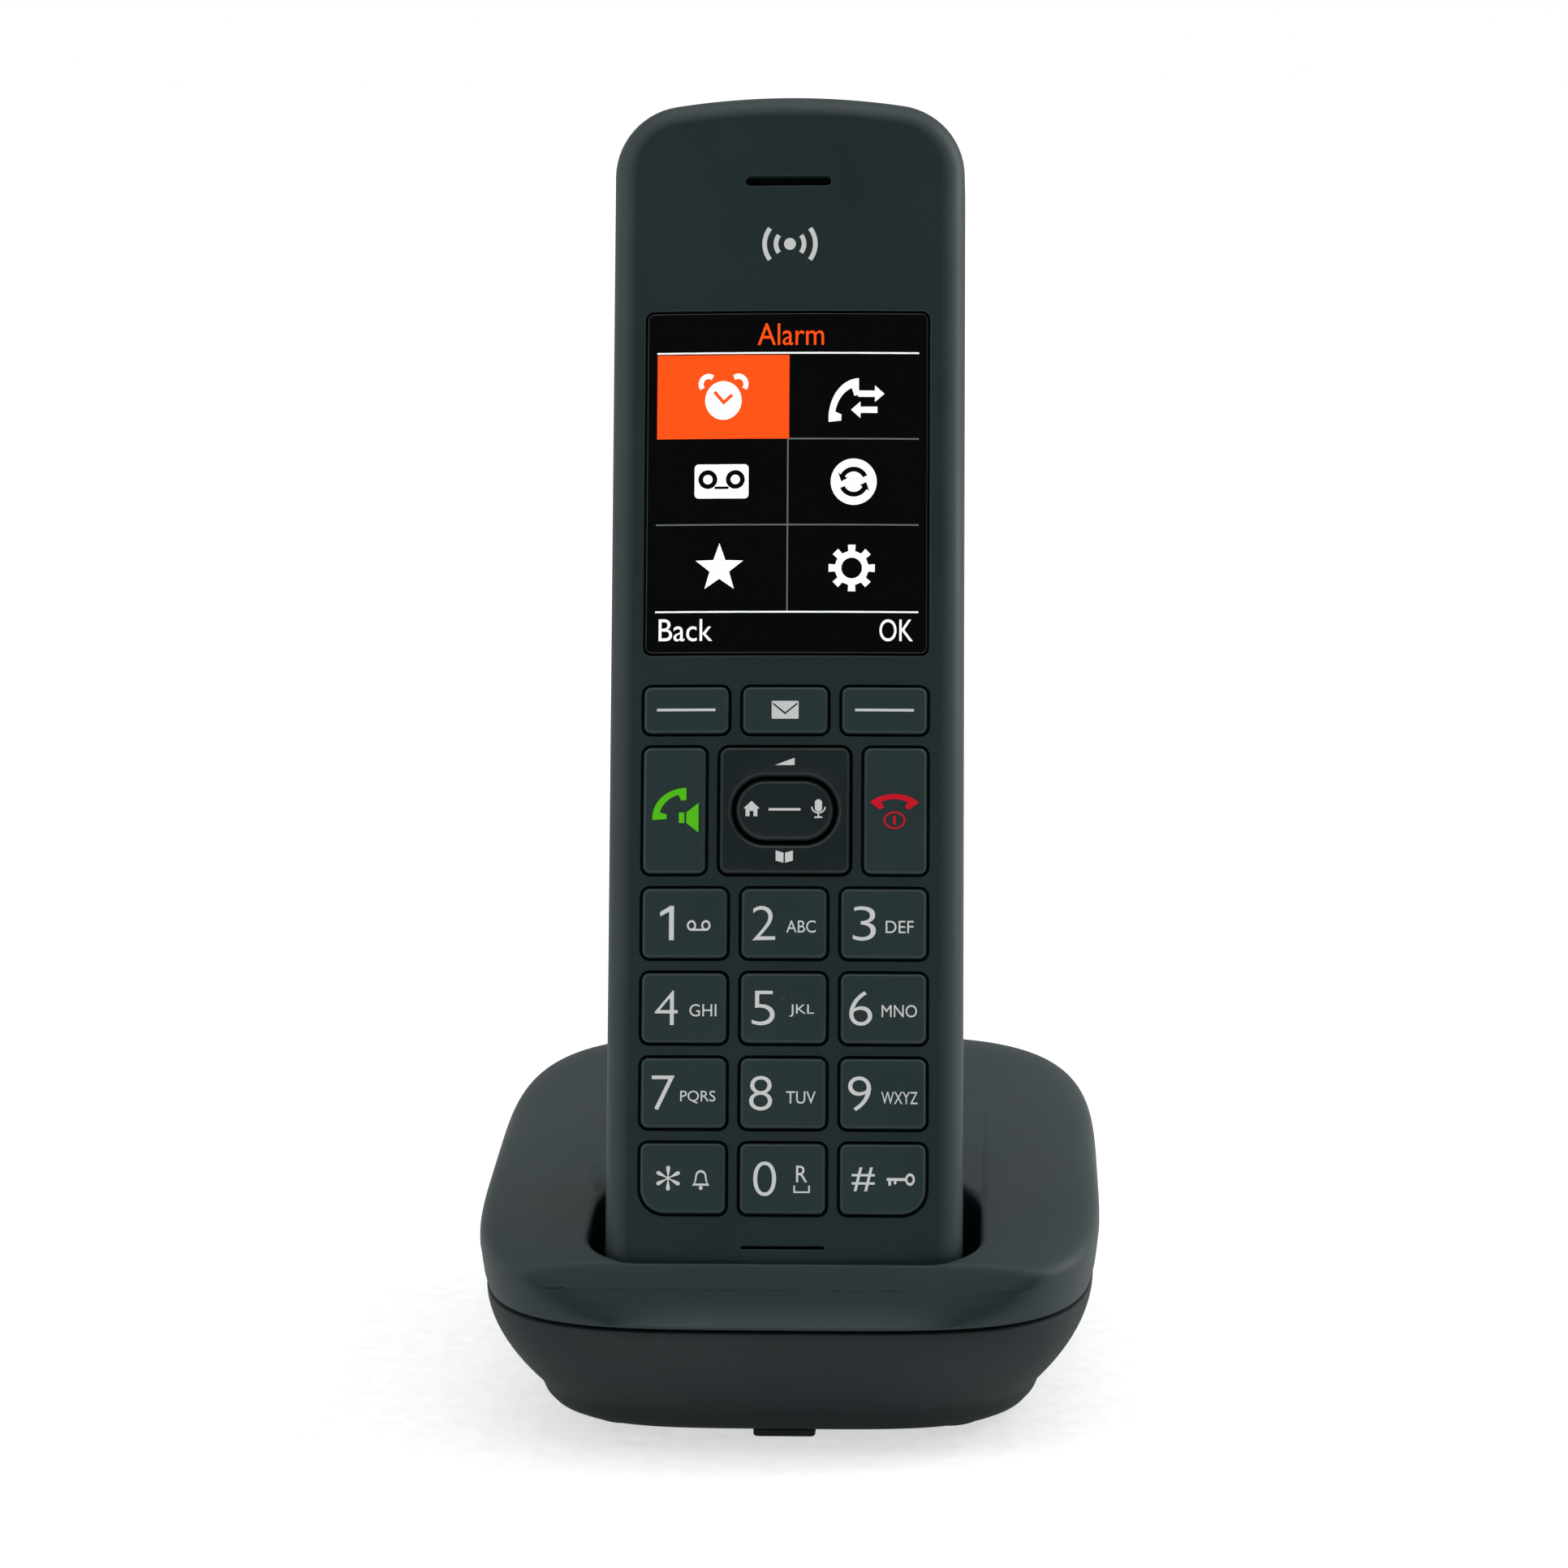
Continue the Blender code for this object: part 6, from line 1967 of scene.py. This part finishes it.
        cap = carved(cap, dimple)
        moved(cap, turn=(-math.pi / 2, "X"))
        moved(cap, 12.6 * MM, 32.1 * MM, self.SOCKET_HEIGHT)
        piece("paging_key", cap, KEYS, "page_key", CRADLE, ["page_key"])

    def build_contacts(self) -> None:
        """The two sprung charge contacts in the pocket's floor."""
        for side, sign in (("left", -1), ("right", 1)):
            shape = box_shape(sign * CONTACT_X, 6.0 * MM, 2.2 * MM, 3.4 * MM, 0.7 * MM)
            mesh = moulded(shape, [(0.0, -4.0 * MM), *rounded(0.0, 0.7 * MM, 6, stop=80.0)])
            piece(f"charge_spring_{side}", mesh, GOLD, f"base_contact_{side}", SEAT,
                  [f"base_contact_{side}"], 50.0)

    def build(self) -> None:
        """Make the whole cradle."""
        self.build_upper()
        self.build_lower()
        self.build_underside()
        self.build_sockets()
        self.build_contacts()


# ---- studio --------------------------------------------------------------------------------
@dataclass
class Studio:
    """The plain pale floor, the soft lights and the camera.

    Attributes:
        azimuth: the camera's turn, in degrees.
        elevation: its height, in degrees.
        distance: how far it stands from its aim.
        aim: the point that it looks at.
        lens: its focal length, in millimetres.
        roll: its slight roll.
    """

    azimuth: float = 2.7
    elevation: float = 10.5
    distance: float = 0.612
    aim: tuple[float, float, float] = (-1.2 * MM, 0.0, 80.6 * MM)
    lens: float = 102.5
    roll: float = math.radians(-0.4)

    LAMPS = (("top_light", (0.0, 0.02, 0.95), (1.1, 0.8), 3.6),
             ("left_light", (-0.75, -0.15, 0.55), (0.5, 0.8), 0.9),
             ("right_light", (0.66, 0.24, 0.44), (0.22, 0.8), 2.2))

    def lamp(self, name: str, place: tuple[float, float, float], target: tuple[float, float, float],
             size: tuple[float, float], power: float) -> None:
        """A soft rectangular light.

        Args:
            name: its name.
            place: where it stands.
            target: where it shines.
            size: its width and height.
            power: its power in watts.
        """
        data = bpy.data.lights.new(name, "AREA")
        data.shape = "RECTANGLE"
        data.size, data.size_y = size
        data.energy = power
        obj = bpy.data.objects.new(name, data)
        bpy.context.scene.collection.objects.link(obj)
        obj.location = place
        obj.rotation_euler = (Vector(target) - Vector(place)).to_track_quat("-Z", "Y").to_euler()

    def build_floor(self) -> None:
        """A wide pale floor that glows, and glows more the further it lies from the cradle: the dimmer glow
        near the cradle is a painted shadow.
        """
        reach = 6.0
        solid = bmesh.new()
        bmesh.ops.create_grid(solid, x_segments=8, y_segments=8, size=reach)
        floor = helper(as_mesh(solid, "floor"), "floor")
        finish = Finish("pale_floor_with_painted_shadow", (0.86, 0.86, 0.86), 0.9, Grain.SATIN, 400.0, 0.02 * MM, 0.01,
                        glow=0.80)
        floor.data.materials.append(finish.material())
        tree = floor.data.materials[0].node_tree
        shader = next(node for node in tree.nodes if node.type == "BSDF_PRINCIPLED")
        place = tree.nodes.new("ShaderNodeTexCoord")
        far = tree.nodes.new("ShaderNodeVectorMath")
        far.operation = "LENGTH"
        tree.links.new(place.outputs["Object"], far.inputs[0])
        # painted shadow: the floor's glow falls from 1.15 far out to 0.78 near the cradle, so the floor
        # round the cradle is darkened as a shadow would darken it
        level = self.ramp(tree, far.outputs["Value"], (0.10, 0.60), (0.78, 1.15))
        eye = tree.nodes.new("ShaderNodeLightPath")
        seen = self.ramp(tree, eye.outputs["Is Camera Ray"], (0.0, 1.0), (0.25, 1.0))
        glow = tree.nodes.new("ShaderNodeMath")
        glow.operation = "MULTIPLY"
        tree.links.new(level, glow.inputs[0])
        tree.links.new(seen, glow.inputs[1])
        tree.links.new(glow.outputs[0], shader.inputs["Emission Strength"])

    def ramp(self, tree: bpy.types.NodeTree, value: bpy.types.NodeSocket, source: Point,
             target: Point) -> bpy.types.NodeSocket:
        """A smooth ramp from one range to another.

        Args:
            tree: its tree.
            value: what enters it.
            source: the range that it comes from.
            target: the range that it goes to.

        Returns:
            The socket with the result.
        """
        node = tree.nodes.new("ShaderNodeMapRange")
        node.interpolation_type = "SMOOTHSTEP"
        for name, number in zip(("From Min", "From Max", "To Min", "To Max"), (*source, *target)):
            node.inputs[name].default_value = number
        tree.links.new(value, node.inputs["Value"])
        return node.outputs["Result"]

    def build_world(self) -> None:
        """A white surround that is dimmer in front, so that the face stays dark."""
        world = bpy.data.worlds.new("studio")
        bpy.context.scene.world = world
        world.use_nodes = True
        tree = world.node_tree
        background = tree.nodes["Background"]
        background.inputs["Color"].default_value = (1.0, 1.0, 1.0, 1.0)
        place = tree.nodes.new("ShaderNodeTexCoord")
        axes = tree.nodes.new("ShaderNodeSeparateXYZ")
        tree.links.new(place.outputs["Generated"], axes.inputs[0])
        across = tree.nodes.new("ShaderNodeMath")
        across.operation = "ABSOLUTE"
        tree.links.new(axes.outputs["X"], across.inputs[0])
        sides = self.ramp(tree, across.outputs[0], (0.45, 1.0), (0.03, 0.65))
        rear = self.ramp(tree, axes.outputs["Y"], (0.1, 0.9), (0.0, 0.38))
        spread = tree.nodes.new("ShaderNodeMath")
        tree.links.new(sides, spread.inputs[0])
        tree.links.new(rear, spread.inputs[1])
        eye = tree.nodes.new("ShaderNodeLightPath")
        choice = tree.nodes.new("ShaderNodeMath")
        choice.operation = "MAXIMUM"
        tree.links.new(eye.outputs["Is Camera Ray"], choice.inputs[0])
        tree.links.new(spread.outputs[0], choice.inputs[1])
        tree.links.new(choice.outputs[0], background.inputs["Strength"])

    def build(self) -> None:
        """Set the floor, lights and camera."""
        self.build_floor()
        self.build_world()
        middle = (0.0, 0.0, 0.06)
        for name, place, size, power in self.LAMPS:
            self.lamp(name, place, middle, size, power)
        turn, rise = math.radians(self.azimuth), math.radians(self.elevation)
        back = Vector((math.sin(turn) * math.cos(rise), -math.cos(turn) * math.cos(rise), math.sin(rise)))
        data = bpy.data.cameras.new("camera")
        data.lens = self.lens
        data.sensor_width = 36.0
        data.clip_start = 0.01
        camera = bpy.data.objects.new("camera", data)
        bpy.context.scene.collection.objects.link(camera)
        camera.location = Vector(self.aim) + back * self.distance
        level = (-back).to_track_quat("-Z", "Y").to_matrix()
        camera.rotation_euler = (level @ Matrix.Rotation(self.roll, 3, "Z")).to_euler()
        bpy.context.scene.camera = camera
        bpy.context.scene.view_settings.view_transform = "Standard"


def main() -> None:
    """Build the looks round the frame."""
    logging.basicConfig(level=logging.INFO, format="%(name)s: %(message)s")
    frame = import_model()
    Handset().build()
    Cradle().build()
    dress(frame["nodes"], {
        "display_gasket": FOAM, "display_panel": GLASS, "keypad_mat": SILICONE,
        "handset_circuit_board": BOARD, "earpiece_speaker": STEEL, "ringer_speaker": STEEL,
        "microphone": GOLD, "battery_bay": SOCKET, "battery_contact_low": STEEL,
        "battery_contact_high": STEEL, "base_circuit_board": BOARD})
    Studio().build()


if __name__ == "__main__":
    main()
